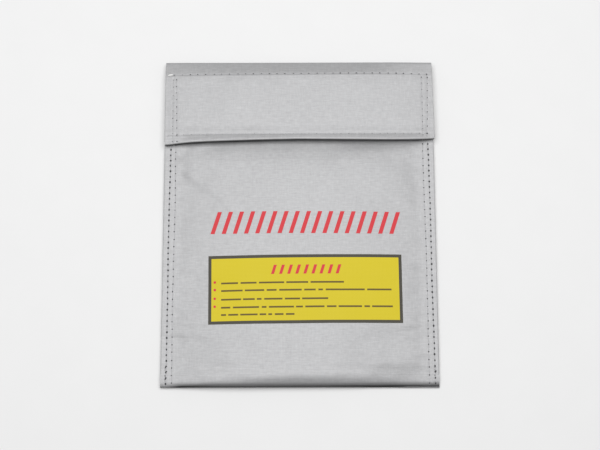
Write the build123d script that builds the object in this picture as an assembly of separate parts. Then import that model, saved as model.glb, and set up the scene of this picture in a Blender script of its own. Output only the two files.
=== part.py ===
from build123d import *
import math
import os

# Flat sewn charging bag for lipo packs, closed, lying on its back.
# X is the width, +Y runs from the bottom fold to the top fold, +Z is up out of
# the front face. The origin is on the resting plane, under the middle of the
# closed bag. All sizes are in millimetres.
#
# The shell is one silver coated glass cloth strip: front, bottom fold, back,
# top fold and flap. It is built as separate pieces, split where it bends.
# Left is -X and right is +X.

# ---- driving dimensions ----
BAG_W = 180.0            # across the side hems
BAG_H = 220.0            # bottom fold to top fold, flap closed
CLOTH = 0.6              # coated glass cloth
LINING = 0.4             # bare glass cloth lining
GAP = 0.05               # air between neighbouring layers
EDGE_GAP = 0.2           # air between pieces that meet edge to edge
BELLY_Z = 9.0            # outer height of the front at its middle
MOUTH_Z = 4.4            # outer height of the front under the flap
LOW_END_Z = 3.2          # outer height of the front at its lower end
HEM_TOP = 2.4            # top of the sewn side hems
HEM_W = 10.3             # width of a side hem
FOLD_R = 1.3             # outer radius of the bottom fold

X_SIDE = BAG_W / 2
HEM_IN = X_SIDE - HEM_W          # inner edge of the hems
PANEL_HALF = HEM_IN - EDGE_GAP   # half width of the free part of the front

Y_BOT = -BAG_H / 2
Y_TOP = BAG_H / 2
Y_NOSE = Y_BOT + FOLD_R          # axis of the bottom fold
Y_PANEL_LOW = -102.0             # lower end of the free front panel
Y_LEG = Y_PANEL_LOW - 2 * EDGE_GAP   # where the back cloth ends on the front
Y_BELLY_LOW = -94.0              # belly has full height from here
Y_BELLY_HIGH = 28.0              # to here
Y_STEP = 50.0                    # and is down to the mouth height here
Y_MOUTH = 98.0                   # top edge of the front, the mouth
Y_MOUTH_HEM = Y_MOUTH - 10.0     # lower edge of the mouth hem
Y_BACK_TOP = 104.0               # upper end of the flat back cloth
Y_LINING_TOP = 100.0             # upper end of the flat back lining
Y_FLAP_EDGE = 54.0               # lower edge of the closed flap
Y_FLAP_HEM = Y_FLAP_EDGE + 8.0   # upper edge of the flap's edge hem
Y_FLAP_ROOT = 102.0              # where the flap turns into the top fold

# Heights above the resting plane
Z_LINING = CLOTH + GAP           # underside of the back lining
Z_HEM = Z_LINING + LINING + GAP  # underside of the side hems

# Offsets from the front's outer face, positive outwards
LINING_OUT = -CLOTH - GAP
LINING_IN = LINING_OUT - LINING
TAPE_T = 1.2                     # hook or loop tape, backing and pile
ENGAGE = 0.35                    # air between the two tapes
FLAP_HEM_T = 0.45                # turned hem of the flap
LOOP_LOW = GAP
LOOP_TOP = LOOP_LOW + TAPE_T
HOOK_LOW = LOOP_TOP + ENGAGE
HOOK_TOP = HOOK_LOW + TAPE_T
FLAP_INNER = HOOK_TOP + GAP      # underside of the flap's lining and hems
FLAP_CLOTH = FLAP_INNER + FLAP_HEM_T + GAP
FLAP_TOP = FLAP_CLOTH + CLOTH

LOOP_HALF = PANEL_HALF - 1.0     # half width of the loop tape
LOOP_Y = (57.5, 95.5)            # its lower and upper edge
HOOK_HALF = 84.0
HOOK_Y = (60.5, 99.0)

STITCH_W = 0.5
STITCH_T = 0.28
STITCH_LIFT = 0.04               # air under a stitch on the flap or loop tape
SEAM_LIFT = 0.02                 # air under a stitch of the side seams
SEAM_OUT = X_SIDE - 4.0          # outer row of side stitching
SEAM_IN = X_SIDE - 7.5           # inner row
# name, x, stitch spacing
SEAMS = (("outer", SEAM_OUT, 3.7), ("inner", SEAM_IN, 5.0))
SEAM_FILL = 0.62                 # stitch length as a share of the spacing
PITCH_TAPE = 5.3                 # stitch spacing along the tapes
TAPE_STITCH = PITCH_TAPE * 0.7   # stitch length there
SIDES = ((-1, "left"), (1, "right"))

# Lengthwise shape of the front: y, height of the arc at x = 0
FRONT_STATIONS = [
    (Y_PANEL_LOW, LOW_END_Z),
    (Y_BELLY_LOW, BELLY_Z),
    (Y_BELLY_HIGH, BELLY_Z),
    (Y_STEP, MOUTH_Z),
    (Y_MOUTH, MOUTH_Z),
]


# ---- arcs across the bag ----
def arc_radius(z_mid):
    """Radius of the arc through (+-PANEL_HALF, HEM_TOP) and (0, z_mid)."""
    rise = z_mid - HEM_TOP
    return (PANEL_HALF**2 + rise * rise) / (2 * rise)


def arch(x, z_mid):
    """Height of that arc at x."""
    radius = arc_radius(z_mid)
    return z_mid - (radius - math.sqrt(radius * radius - x * x))


def slope(x, z_mid):
    return -x / math.sqrt(arc_radius(z_mid) ** 2 - x * x)


def section(y, x0, x1, z_mid, low, high):
    """Closed wire at y: the arc from x0 to x1, between offsets low and high."""
    x_mid = (x0 + x1) / 2

    def point(x, offset):
        return Vector(x, y, arch(x, z_mid) + offset)

    return Wire(
        [
            Edge.make_three_point_arc(point(x0, low), point(x_mid, low), point(x1, low)),
            Edge.make_line(point(x1, low), point(x1, high)),
            Edge.make_three_point_arc(point(x1, high), point(x_mid, high), point(x0, high)),
            Edge.make_line(point(x0, high), point(x0, low)),
        ]
    )


def strip(y0, y1, x0, x1, low, high, z_mid=MOUTH_Z):
    """Layer that follows one arc, from y0 to y1."""
    face = Face(section(y0, x0, x1, z_mid, low, high))
    return Solid.extrude(face, Vector(0, y1 - y0, 0))


# ---- solids ----
def fuse_all(pieces):
    result = pieces[0]
    for piece in pieces[1:]:
        result = result.fuse(piece)
    return result


def ruled_loft(wires):
    return Solid.make_loft(wires, ruled=True)


def panel(stations, half, low, high):
    """Layer of the front through stations of (y, z_mid), from -half to half."""
    pieces = []
    for (y0, z0), (y1, z1) in zip(stations, stations[1:]):
        if z0 == z1:
            pieces.append(strip(y0, y1, -half, half, low, high, z0))
        else:
            ends = [section(y, -half, half, z, low, high) for y, z in ((y0, z0), (y1, z1))]
            pieces.append(ruled_loft(ends))
    return fuse_all(pieces)


def block(x0, x1, y0, y1, z0, z1):
    corner = (Align.MIN, Align.MIN, Align.MIN)
    return Box(x1 - x0, y1 - y0, z1 - z0, align=corner).moved(Location((x0, y0, z0)))


def polygon(points):
    return Wire.make_polygon([Vector(*point) for point in points], close=True)


def prism(points, direction):
    """Solid swept from the polygon through (x, y, z) points."""
    return Solid.extrude(Face(polygon(points)), Vector(*direction))


def save(shape, name):
    """Write one piece, a shape or a list of shapes, as a STEP file."""
    solids = []
    for item in shape if isinstance(shape, list) else [shape]:
        solids.extend(item.solids())
    body = solids[0] if len(solids) == 1 else Compound(children=solids)
    body.label = name
    export_step(body, f"parts/{name}.step")


# ---- back, with the bottom fold ----
def fold_arc(radius, steps=12):
    """(y, z) points round the bottom fold, from its top to its bottom."""
    angles = [math.radians(90 + 180 * i / steps) for i in range(steps + 1)]
    return [(Y_NOSE + radius * math.cos(a), FOLD_R + radius * math.sin(a)) for a in angles]


def back_panel():
    """Flat cloth that turns up round the bottom fold, grooved for the seams."""
    profile = (
        [(Y_LEG, 2 * FOLD_R)]
        + fold_arc(FOLD_R)
        + [(Y_BACK_TOP, 0.0), (Y_BACK_TOP, CLOTH)]
        + fold_arc(FOLD_R - CLOTH)[::-1]
        + [(Y_LEG, 2 * FOLD_R - CLOTH)]
    )
    cloth = prism([(-X_SIDE, y, z) for y, z in profile], (BAG_W, 0, 0))
    groove_half = 0.45
    groove_top = STITCH_T + 0.04
    grooves = [
        block(side * x - groove_half, side * x + groove_half, Y_NOSE, Y_MOUTH, -1.0, groove_top)
        for side, _ in SIDES
        for _, x, _ in SEAMS
    ]
    return cloth.cut(*grooves)


def back_lining():
    half = X_SIDE - 1.2
    return block(-half, half, Y_NOSE + 0.9, Y_LINING_TOP, Z_LINING, Z_LINING + LINING)


# ---- front ----
def front_panel():
    return panel(FRONT_STATIONS, PANEL_HALF, -CLOTH, 0.0)


def front_lining():
    """Stops just below the mouth hem."""
    stations = FRONT_STATIONS[:-1] + [(Y_MOUTH_HEM - EDGE_GAP, MOUTH_Z)]
    return panel(stations, PANEL_HALF - 0.5, LINING_IN, LINING_OUT)


def mouth_hem():
    return strip(Y_MOUTH_HEM, Y_MOUTH, -PANEL_HALF, PANEL_HALF, LINING_IN - 0.1, LINING_OUT)


def side_hem(side):
    """The front cloth's margin, turned under: a C open towards the middle."""
    turn_in = HEM_IN + 1.5       # inner edge of the turned part
    wall = X_SIDE - CLOTH
    profile = [
        (HEM_IN, HEM_TOP), (X_SIDE, HEM_TOP), (X_SIDE, Z_HEM), (turn_in, Z_HEM),
        (turn_in, Z_HEM + CLOTH), (wall, Z_HEM + CLOTH),
        (wall, HEM_TOP - CLOTH), (HEM_IN, HEM_TOP - CLOTH),
    ]
    y0 = Y_PANEL_LOW - EDGE_GAP
    return prism([(side * x, y0, z) for x, z in profile], (0, Y_MOUTH - y0, 0))


# ---- flap ----
def flap_cloth():
    return strip(Y_FLAP_EDGE, Y_FLAP_ROOT, -X_SIDE, X_SIDE, FLAP_CLOTH, FLAP_TOP)


def flap_lining():
    y0 = Y_FLAP_HEM + EDGE_GAP
    return strip(y0, Y_FLAP_ROOT, -PANEL_HALF, PANEL_HALF, FLAP_INNER, FLAP_INNER + LINING)


def flap_hem(x0, x1, y1):
    """Turned hem on the underside of the flap, from its lower edge to y1."""
    return strip(Y_FLAP_EDGE, y1, x0, x1, FLAP_INNER, FLAP_INNER + FLAP_HEM_T)


# ---- top fold: cloth and lining, bending from the back to the flap ----
def fold_section(x, y_start, depth, thick):
    """Band of the fold at x, starting at y_start, depth under the outer face."""
    top = arch(x, MOUTH_Z) + FLAP_TOP
    nose = top / 2
    # Outer face, from the back up round the nose to the flap: y, z
    rim = [
        (y_start, 0.0), (106.6, 0.3), (108.4, 1.2), (109.5, nose - 1.5),
        (Y_TOP, nose), (109.6, nose * 1.36), (108.3, nose * 1.68),
        (105.8, nose * 1.92), (Y_FLAP_ROOT + 0.3, top),
    ]

    def inset(distance):
        """The rim moved inwards; its two ends move only in z."""
        points = [(rim[0][0], rim[0][1] + distance)]
        for before, (y, z), after in zip(rim, rim[1:], rim[2:]):
            dy, dz = after[0] - before[0], after[1] - before[1]
            length = math.hypot(dy, dz)
            points.append((y - dz / length * distance, z + dy / length * distance))
        return points + [(rim[-1][0], rim[-1][1] - distance)]

    return polygon([(x, y, z) for y, z in inset(depth) + inset(depth + thick)[::-1]])


def fold_band(half, y_start, depth, thick):
    wires = [
        (fold_section(a, y_start, depth, thick), fold_section(b, y_start, depth, thick))
        for a, b in ((-half, -45.0), (-45.0, 0.0), (0.0, 45.0), (45.0, half))
    ]
    return fuse_all([ruled_loft(list(pair)) for pair in wires])


# ---- stitching ----
def stitch(x, y, z, length, along, tilt=0.0):
    """One thread bar, its underside on z. along is 'x' or 'y'."""
    dx, dy = (length, STITCH_W) if along == "x" else (STITCH_W, length)
    bar = Box(dx, dy, STITCH_T, align=(Align.CENTER, Align.CENTER, Align.MIN))
    return bar.moved(Location((x, y, z), (0, -math.degrees(tilt), 0)))


def arc_stitch(x, y, offset, length, along):
    """Stitch on a layer whose top is offset above the mouth arc."""
    z = arch(x, MOUTH_Z) + offset + STITCH_LIFT
    return stitch(x, y, z, length, along, slope(x, MOUTH_Z))


def spaced(start, end, pitch):
    """Centres of the equal steps nearest to pitch between start and end."""
    count = max(1, int(round((end - start) / pitch)))
    return [start + (i + 0.5) * (end - start) / count for i in range(count)]


def seam_thread(x, pitch):
    """Side seam, with bars on the front and under the back."""
    length = pitch * SEAM_FILL
    shift = pitch * 0.36
    bars = []
    for y in spaced(Y_BOT + 2.6, Y_MOUTH - 0.6, pitch):
        # Keep clear of the joint between back cloth and hem
        if abs(y - Y_PANEL_LOW + 0.3) < shift:
            y += shift
        top = 2 * FOLD_R if y < Y_LEG else HEM_TOP
        bars.append(stitch(x, y, top + SEAM_LIFT, length, "y"))
        bars.append(stitch(x, y, SEAM_LIFT, length, "y"))
    return bars


def flap_side_thread(side):
    return [
        arc_stitch(side * x, y, FLAP_TOP, pitch * SEAM_FILL, "y")
        for _, x, pitch in SEAMS
        for y in spaced(*HOOK_Y, pitch)
    ]


def flap_cross_thread(y):
    half = X_SIDE - 3.5
    xs = spaced(-half, half, PITCH_TAPE)
    return [arc_stitch(x, y, FLAP_TOP, TAPE_STITCH, "x") for x in xs]


def loop_tape_thread():
    """Rows just inside all four edges of the loop tape."""
    low, high = LOOP_Y
    row_half = LOOP_HALF - 2.0
    column_x = LOOP_HALF - 1.5
    bars = []
    for y in (low + 1.7, high - 1.7):
        for x in spaced(-row_half, row_half, PITCH_TAPE):
            bars.append(arc_stitch(x, y, LOOP_TOP, TAPE_STITCH, "x"))
    for x in (-column_x, column_x):
        for y in spaced(low + 3.5, high - 3.5, PITCH_TAPE):
            bars.append(arc_stitch(x, y, LOOP_TOP, TAPE_STITCH, "y"))
    return bars


def mouth_corner_tacks():
    """Five cross bars on each hem, midway between the seam rows."""
    x = (SEAM_OUT + SEAM_IN) / 2
    return [
        stitch(side * x, 90.5 + 1.1 * i, HEM_TOP + SEAM_LIFT, 1.9, "x")
        for side, _ in SIDES
        for i in range(5)
    ]


# ---- print on the belly, as thin ink layers ----
INK = 0.1                # thickness of the ink
INK_LIFT = 0.03          # air under each ink layer
CUTTER_H = 30.0          # height of the tools that cut ink to shape
FIELD_X = (-59.5, 67.0)  # outside of the frame
FIELD_Y = (-69.5, -24.1)
FRAME_W = 2.0
LINE_HALF = 0.75         # half height of a text line
DOT_X = -55.3
DOT_R = 0.85
# Text lines: y of the line, then (left end, length) of each word
LINES = [
    (-42.5, [(-51.1, 11.0), (-38.4, 10.4), (-26.4, 16.4), (-8.6, 14.2), (7.2, 21.7)]),
    (-47.5, [(-51.1, 14.0), (-35.6, 12.6), (-21.4, 6.4), (-13.2, 14.6), (3.0, 7.4),
             (12.2, 3.0), (17.0, 25.4), (44.0, 15.9)]),
    (-53.3, [(-51.1, 13.0), (-36.8, 7.6), (-27.8, 3.0), (-23.0, 11.8), (-9.6, 9.8),
             (1.6, 16.9)]),
    (-58.6, [(-51.1, 6.0), (-43.4, 17.0), (-24.6, 3.0), (-20.0, 16.2), (-2.4, 4.4),
             (3.6, 12.4), (17.6, 6.2), (25.2, 15.2), (42.0, 3.6), (47.0, 13.5)]),
    (-63.4, [(-51.1, 3.2), (-46.4, 6.4), (-38.6, 11.2), (-26.0, 4.2), (-20.4, 2.4),
             (-16.2, 5.6), (-9.0, 5.5)]),
]


def ink(x0, x1, y0, y1, level=0):
    """Ink patch; level 1 lies on top of level 0."""
    low = INK_LIFT + level * (INK + INK_LIFT)
    return strip(y0, y1, x0, x1, low, low + INK, BELLY_Z)


def slanted(x0, x1, y0, y1, count, width, lean, level=0):
    """Leaning bars between x0 and x1, cut from one ink layer."""
    sheet = ink(x0 - 1, x1 + 1, y0, y1, level)
    step = (x1 - x0 - width - lean) / (count - 1)
    bars = []
    for i in range(count):
        x = x0 + i * step
        outline = [
            (x, y0, 0), (x + width, y0, 0), (x + width + lean, y1, 0), (x + lean, y1, 0)
        ]
        bars.extend((sheet & prism(outline, (0, 0, CUTTER_H))).solids())
    return bars


def panel_frame():
    (x0, x1), (y0, y1) = FIELD_X, FIELD_Y
    inset = FRAME_W + 0.01       # keeps the uprights clear of the cross bars
    return [
        ink(x0, x1, y0, y0 + FRAME_W),
        ink(x0, x1, y1 - FRAME_W, y1),
        ink(x0, x0 + FRAME_W, y0 + inset, y1 - inset),
        ink(x1 - FRAME_W, x1, y0 + inset, y1 - inset),
    ]


def panel_field():
    (x0, x1), (y0, y1) = FIELD_X, FIELD_Y
    inset = FRAME_W + 0.05
    return ink(x0 + inset, x1 - inset, y0 + inset, y1 - inset)


def panel_lines():
    return [
        ink(x, x + length, y - LINE_HALF, y + LINE_HALF, level=1)
        for y, words in LINES
        for x, length in words
    ]


def panel_dots():
    """A round dot left of every line but the last."""
    sheet = ink(-57.0, -53.5, -66.0, -38.0, level=1)
    dots = []
    for y, _ in LINES[:-1]:
        rod = Cylinder(DOT_R, CUTTER_H, align=(Align.CENTER, Align.CENTER, Align.MIN))
        dots.extend((sheet & rod.moved(Location((DOT_X, y, 0)))).solids())
    return dots


# ---- write the pieces ----
os.makedirs("parts", exist_ok=True)

save(back_panel(), "back_panel")
save(back_lining(), "back_lining")
save(front_panel(), "front_panel")
save(front_lining(), "front_lining")
save(mouth_hem(), "mouth_hem")
save(flap_cloth(), "flap_cloth")
save(flap_lining(), "flap_lining")
save(flap_hem(-PANEL_HALF, PANEL_HALF, Y_FLAP_HEM), "flap_edge_hem")
save(flap_hem(-X_SIDE, -HEM_IN, Y_FLAP_ROOT), "flap_left_hem")
save(flap_hem(HEM_IN, X_SIDE, Y_FLAP_ROOT), "flap_right_hem")
save(fold_band(X_SIDE, Y_BACK_TOP + 0.1, 0.0, CLOTH), "top_fold")
save(fold_band(HEM_IN, Y_LINING_TOP + EDGE_GAP, CLOTH + 0.25, LINING), "top_fold_lining")
save(strip(*LOOP_Y, -LOOP_HALF, LOOP_HALF, LOOP_LOW, LOOP_TOP), "loop_tape")
save(strip(*HOOK_Y, -HOOK_HALF, HOOK_HALF, HOOK_LOW, HOOK_TOP), "hook_tape")

for side, side_name in SIDES:
    save(side_hem(side), f"{side_name}_side_hem")
    for row_name, x, pitch in SEAMS:
        save(seam_thread(side * x, pitch), f"{side_name}_seam_{row_name}_thread")
    save(flap_side_thread(side), f"flap_{side_name}_thread")
save(flap_cross_thread(100.3), "flap_top_thread")
save(flap_cross_thread(57.5), "flap_lower_thread")
save(loop_tape_thread(), "loop_tape_thread")
save(mouth_corner_tacks(), "mouth_corner_tacks")

save(slanted(-58.5, 66.5, -9.8, 5.0, count=17, width=2.7, lean=4.7), "print_title_bars")
save(panel_frame(), "print_panel_frame")
save(panel_field(), "print_panel_field")
save(
    slanted(-18.5, 27.7, -36.9, -30.9, count=9, width=2.2, lean=1.9, level=1),
    "print_panel_heading",
)
save(panel_lines(), "print_panel_lines")
save(panel_dots(), "print_panel_dots")
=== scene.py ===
"""A flat pouch of silver coated glass cloth, lying on its back.

X runs across the pouch and +X is its right side. +Y runs up to the top crease, where the
flap turns over the mouth. Z is up, with the back near z = 0 and the printed front above.
Shapes are worked out in mm and turned into metres when a mesh is made.
"""
import math

import bpy
import numpy as np
from mathutils import Matrix, Vector


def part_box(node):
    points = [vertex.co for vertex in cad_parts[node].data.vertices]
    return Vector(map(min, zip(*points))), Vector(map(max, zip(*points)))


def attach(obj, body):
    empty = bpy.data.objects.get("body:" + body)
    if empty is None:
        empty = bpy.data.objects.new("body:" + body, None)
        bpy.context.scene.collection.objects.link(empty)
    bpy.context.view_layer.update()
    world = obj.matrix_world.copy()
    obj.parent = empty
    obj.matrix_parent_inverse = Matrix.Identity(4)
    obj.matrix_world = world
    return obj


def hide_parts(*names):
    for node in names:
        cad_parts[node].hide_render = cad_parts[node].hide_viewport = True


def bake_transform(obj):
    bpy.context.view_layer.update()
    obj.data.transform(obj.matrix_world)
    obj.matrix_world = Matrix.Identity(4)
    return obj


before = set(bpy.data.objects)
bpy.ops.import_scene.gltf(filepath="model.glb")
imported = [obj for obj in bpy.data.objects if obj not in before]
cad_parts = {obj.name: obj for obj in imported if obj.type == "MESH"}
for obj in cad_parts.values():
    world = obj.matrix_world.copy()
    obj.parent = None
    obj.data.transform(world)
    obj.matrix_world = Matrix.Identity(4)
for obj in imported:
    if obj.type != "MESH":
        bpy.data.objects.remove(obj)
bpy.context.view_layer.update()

MM = 0.001
UP, DOWN = (0, 0, 1), (0, 0, -1)
SIDES = ((-1, "left"), (1, "right"))
hole_rng = np.random.default_rng(7)         # shared by all needle holes, in build order

# ------------------------------------------------------------------ sizes, mm
# The driving sizes come from the CAD pieces.
box_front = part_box("front_panel")
box_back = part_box("back_panel")
box_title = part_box("print_title_bars")
box_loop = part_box("loop_tape")
box_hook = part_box("hook_tape")

X_SIDE = box_back[1].x / MM
Y_BOT = box_back[0].y / MM
Y_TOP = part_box("top_fold")[1].y / MM
HEM_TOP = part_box("left_side_hem")[1].z / MM
PANEL_HALF = box_front[1].x / MM            # half width of the front panel
FLAT_Z = box_front[1].z / MM - 1.2          # the bag lies nearly flat
Y_MOUTH = box_front[1].y / MM
FLAP_TOP_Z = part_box("flap_cloth")[1].z / MM
MOUTH_Z = 4.4
Y_JOIN = box_front[0].y / MM - 0.4          # the front meets the bottom fold
CLOTH = 0.6                                 # cloth thickness
LINING = 0.35                               # lining thickness
ROLL = 0.65                                 # half thickness of a turned edge
ROLL_X = 0.30                               # how far a pressed side turn bulges out
X_EDGE = X_SIDE - ROLL_X                    # where the side turns start


# ------------------------------------------------------------------ numbers
def smooth(a, b, x):
    """Smooth step from 0 at a to 1 at b; a may be the larger."""
    t = np.clip((np.asarray(x, float) - a) / (b - a), 0, 1)
    return t * t * (3 - 2 * t)


def gauss(distance, width):
    return np.exp(-(distance / width) ** 2)


def unit(v):
    return v / np.maximum(np.linalg.norm(v, axis=-1, keepdims=True), 1e-12)


def normals(grid):
    return unit(np.cross(np.gradient(grid, axis=0), np.gradient(grid, axis=1)))


def points(x, y, z):
    return np.stack(np.broadcast_arrays(x, y, z), -1)


def blur(a, sigma, axis):
    reach = int(math.ceil(3 * sigma))
    kernel = np.exp(-0.5 * (np.arange(-reach, reach + 1) / sigma) ** 2)
    kernel /= kernel.sum()
    pad = [(0, 0)] * a.ndim
    pad[axis] = (reach, reach)
    padded = np.pad(a, pad, mode="edge")
    return np.apply_along_axis(lambda m: np.convolve(m, kernel, "valid"), axis, padded)


def blur_both(a, sigma):
    return blur(blur(a, sigma, 0), sigma, 1)


def spread(knots):
    """Positions with given steps: [(start, step), ..., end]."""
    out = []
    for (start, step), following in zip(knots[:-1], knots[1:]):
        end = following[0] if isinstance(following, tuple) else following
        n = max(1, int(math.ceil(abs(end - start) / step)))
        out.extend(np.linspace(start, end, n, endpoint=False))
    out.append(knots[-1])
    return np.array(out, float)


def mirrored(half):
    """Positions from 0 outward, mirrored to both sides."""
    return np.concatenate([-half[::-1][:-1], half])


class Field:
    """Smooth seeded noise over the bag, from a few random waves."""

    def __init__(self, seed, wavelength, count=24):
        r = np.random.default_rng(seed)
        angle = r.uniform(0, 2 * np.pi, count)
        k = 2 * np.pi / (wavelength * r.uniform(0.7, 1.6, count))
        self.kx, self.ky = k * np.cos(angle), k * np.sin(angle)
        self.phase = r.uniform(0, 2 * np.pi, count)
        self.count = count

    def __call__(self, x, y):
        x, y = np.broadcast_arrays(np.asarray(x, float), np.asarray(y, float))
        out = np.zeros(x.shape)
        for kx, ky, phase in zip(self.kx, self.ky, self.phase):
            out += np.sin(kx * x + ky * y + phase)
        return out / math.sqrt(self.count / 2)


# ------------------------------------------------------------------ meshes
def new_object(name, me, mat, sharp):
    ob = bpy.data.objects.new(name, me)
    bpy.context.scene.collection.objects.link(ob)
    if mat:
        me.materials.append(mat)
    me.polygons.foreach_set("use_smooth", [True] * len(me.polygons))
    me.set_sharp_from_angle(angle=math.radians(sharp))
    return ob


def mesh_from(name, verts, faces, mat, uv=None):
    """Mesh from arrays; verts and the per-vertex uv are in mm."""
    me = bpy.data.meshes.new(name)
    me.vertices.add(len(verts))
    me.vertices.foreach_set("co", (np.asarray(verts, float) * MM).astype(np.float32).ravel())
    me.loops.add(faces.size)
    me.loops.foreach_set("vertex_index", faces.astype(np.int32).ravel())
    me.polygons.add(len(faces))
    starts = np.arange(0, faces.size, faces.shape[1], dtype=np.int32)
    me.polygons.foreach_set("loop_start", starts)
    me.update(calc_edges=True)
    me.validate()
    if uv is not None:
        layer = me.uv_layers.new(name="cloth_mm")
        index = np.zeros(len(me.loops), np.int32)
        me.loops.foreach_get("vertex_index", index)
        layer.data.foreach_set("uv", np.asarray(uv, np.float32)[index].ravel())
    return new_object(name, me, mat, sharp=50)


def loose_mesh(name, verts, faces, mat, sharp=60, plan_uv=False):
    """Mesh from lists of points in mm and faces of mixed size."""
    me = bpy.data.meshes.new(name)
    me.from_pydata([tuple(v * MM) for v in verts], [], faces)
    me.update()
    if plan_uv:
        layer = me.uv_layers.new(name="cloth_mm")
        for corner in me.loops:
            layer.data[corner.index].uv = verts[corner.vertex_index][:2]
    ob = new_object(name, me, mat, sharp)
    return ob


def grid_quads(index):
    corners = [index[:-1, :-1], index[1:, :-1], index[1:, 1:], index[:-1, 1:]]
    return np.stack(corners, -1).reshape(-1, 4)


def slab_faces(nu, nv):
    """Closed solid between an outer grid and an inner grid numbered after it."""
    n = nu * nv
    index = np.arange(n).reshape(nu, nv)
    top = grid_quads(index)
    faces = [top, top[:, ::-1] + n]
    for start, end in (
        (index[0, :-1], index[0, 1:]), (index[-1, 1:], index[-1, :-1]),
        (index[1:, 0], index[:-1, 0]), (index[:-1, -1], index[1:, -1]),
    ):
        faces.append(np.stack([start, end, end + n, start + n], -1))
    return np.concatenate(faces)


def sheet(name, outer, mat, thick, uv=None, normal=None, dark=None):
    """Closed thin solid under the outer surface (nu, nv, 3)."""
    if normal is None:
        normal = normals(outer)
    if uv is None:
        uv = outer[..., :2]
    inner = outer - normal * thick
    verts = np.concatenate([outer.reshape(-1, 3), inner.reshape(-1, 3)])
    uv = np.concatenate([uv.reshape(-1, 2)] * 2)
    ob = mesh_from(name, verts, slab_faces(*outer.shape[:2]), mat, uv)
    if dark is not None:
        values = np.concatenate([dark.ravel(), 0 * dark.ravel()]).astype(np.float32)
        attribute = ob.data.attributes.new("painted_edge_shade", "FLOAT", "POINT")
        attribute.data.foreach_set("value", values)
    return ob


def path_uv(grid, origin_col):
    """UV in mm: arc length across and along, measured from one column."""
    across = np.linalg.norm(np.diff(grid, axis=0), axis=-1)
    u = np.concatenate([np.zeros((1, grid.shape[1])), np.cumsum(across, 0)])
    u = u - u[origin_col]
    along = np.linalg.norm(np.diff(grid[origin_col], axis=0), axis=-1)
    v = np.concatenate([[0], np.cumsum(along)]) + grid[origin_col, 0, 1]
    return np.stack([u, np.broadcast_to(v, u.shape)], -1)


def turned_profile(start, bulge, end, count):
    """(position, drop) round a turned edge, then back under the cloth to end."""
    profile = [(start + bulge * math.cos(a), -ROLL + ROLL * math.sin(a))
               for a in np.radians(np.linspace(90, -90, 9))]
    return profile + [(p, -2 * ROLL) for p in np.linspace(start, end, count)[1:]]


# ------------------------------------------------------------------ bodies
def fix(ob, body, *pieces):
    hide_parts(*pieces)
    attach(ob, body)


def to_front(ob):
    """Bakes the transform into the mesh of a front piece; the front is sewn down at its sides
    and free in its middle.
    """
    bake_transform(ob)


def bend_flap(ob):
    """Bakes the transform into the mesh of a flap piece, whose turn is already in its shape.
    From the crease to the upper cross row the cloth turns from the back to the flap; beyond it
    the tape keeps the flap flat."""
    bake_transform(ob)


def front_sheet(name, grid, mat, thick, pieces, arc_uv=False, dark=None):
    """Sheet of the front in a left and a right half; {} in a piece is the side."""
    normal = normals(grid)
    middle = len(grid) // 2
    uv = path_uv(grid, middle) if arc_uv else grid[..., :2]
    for side, side_name in SIDES:
        half = slice(0, middle + 1) if side < 0 else slice(middle, None)
        ob = sheet(f"{name}_{side_name}", grid[half], mat, thick, uv[half],
                   normal[half], None if dark is None else dark[half])
        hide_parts(*(piece.format(side_name) for piece in pieces))
        to_front(ob)


# ------------------------------------------------------------------ materials
def shade(rgb, factor=1.0, lift=0.0):
    return tuple(min(1.0, c * factor + lift) for c in rgb) + (1.0,)


class Shader:
    def __init__(self, name):
        self.mat = bpy.data.materials.new(name)
        self.mat.use_nodes = True
        self.tree = self.mat.node_tree
        self.tree.nodes.clear()
        self.out = self.new("ShaderNodeOutputMaterial")

    def new(self, kind, **props):
        node = self.tree.nodes.new(kind)
        for key, value in props.items():
            setattr(node, key, value)
        return node

    def put(self, socket, value):
        """Link a socket, or set a plain value."""
        if isinstance(value, bpy.types.NodeSocket):
            self.tree.links.new(value, socket)
        else:
            socket.default_value = value

    def math(self, operation, *values):
        node = self.new("ShaderNodeMath", operation=operation)
        for socket, value in zip(node.inputs, values):
            self.put(socket, value)
        return node.outputs[0]

    def scale_add(self, value, gain, base):
        return self.math("MULTIPLY_ADD", value, gain, base)

    def mix(self, factor, a, b, blend_type="MIX"):
        node = self.new("ShaderNodeMix", data_type="RGBA", blend_type=blend_type)
        self.put(node.inputs[0], factor)
        self.put(node.inputs[6], a)
        self.put(node.inputs[7], b)
        return node.outputs[2]

    def stretched(self, vector, stretch):
        node = self.new("ShaderNodeMapping")
        self.put(node.inputs["Vector"], vector)
        node.inputs["Scale"].default_value = stretch
        return node.outputs["Vector"]

    def noise(self, vector, stretch=None, scale=1.0, detail=2.0, roughness=0.5):
        if stretch is not None:
            vector = self.stretched(vector, stretch)
        node = self.new("ShaderNodeTexNoise")
        self.put(node.inputs["Vector"], vector)
        node.inputs["Scale"].default_value = scale
        node.inputs["Detail"].default_value = detail
        node.inputs["Roughness"].default_value = roughness
        return node.outputs["Fac"]

    def cloth_uv(self):
        return self.new("ShaderNodeUVMap", uv_map="cloth_mm").outputs[0]

    def finish(self, color, roughness, height=None, bump_m=0.0001, metallic=0.0,
               specular=0.5, sheen=0.0):
        surface = self.new("ShaderNodeBsdfPrincipled")
        self.put(surface.inputs["Base Color"], color)
        self.put(surface.inputs["Roughness"], roughness)
        self.put(surface.inputs["Metallic"], metallic)
        surface.inputs["Specular IOR Level"].default_value = specular
        surface.inputs["Sheen Weight"].default_value = sheen
        if height is not None:
            bump = self.new("ShaderNodeBump")
            bump.inputs["Strength"].default_value = 1.0
            bump.inputs["Distance"].default_value = bump_m
            self.put(bump.inputs["Height"], height)
            self.put(surface.inputs["Normal"], bump.outputs[0])
        self.put(self.out.inputs[0], surface.outputs[0])
        return self.mat


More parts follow.
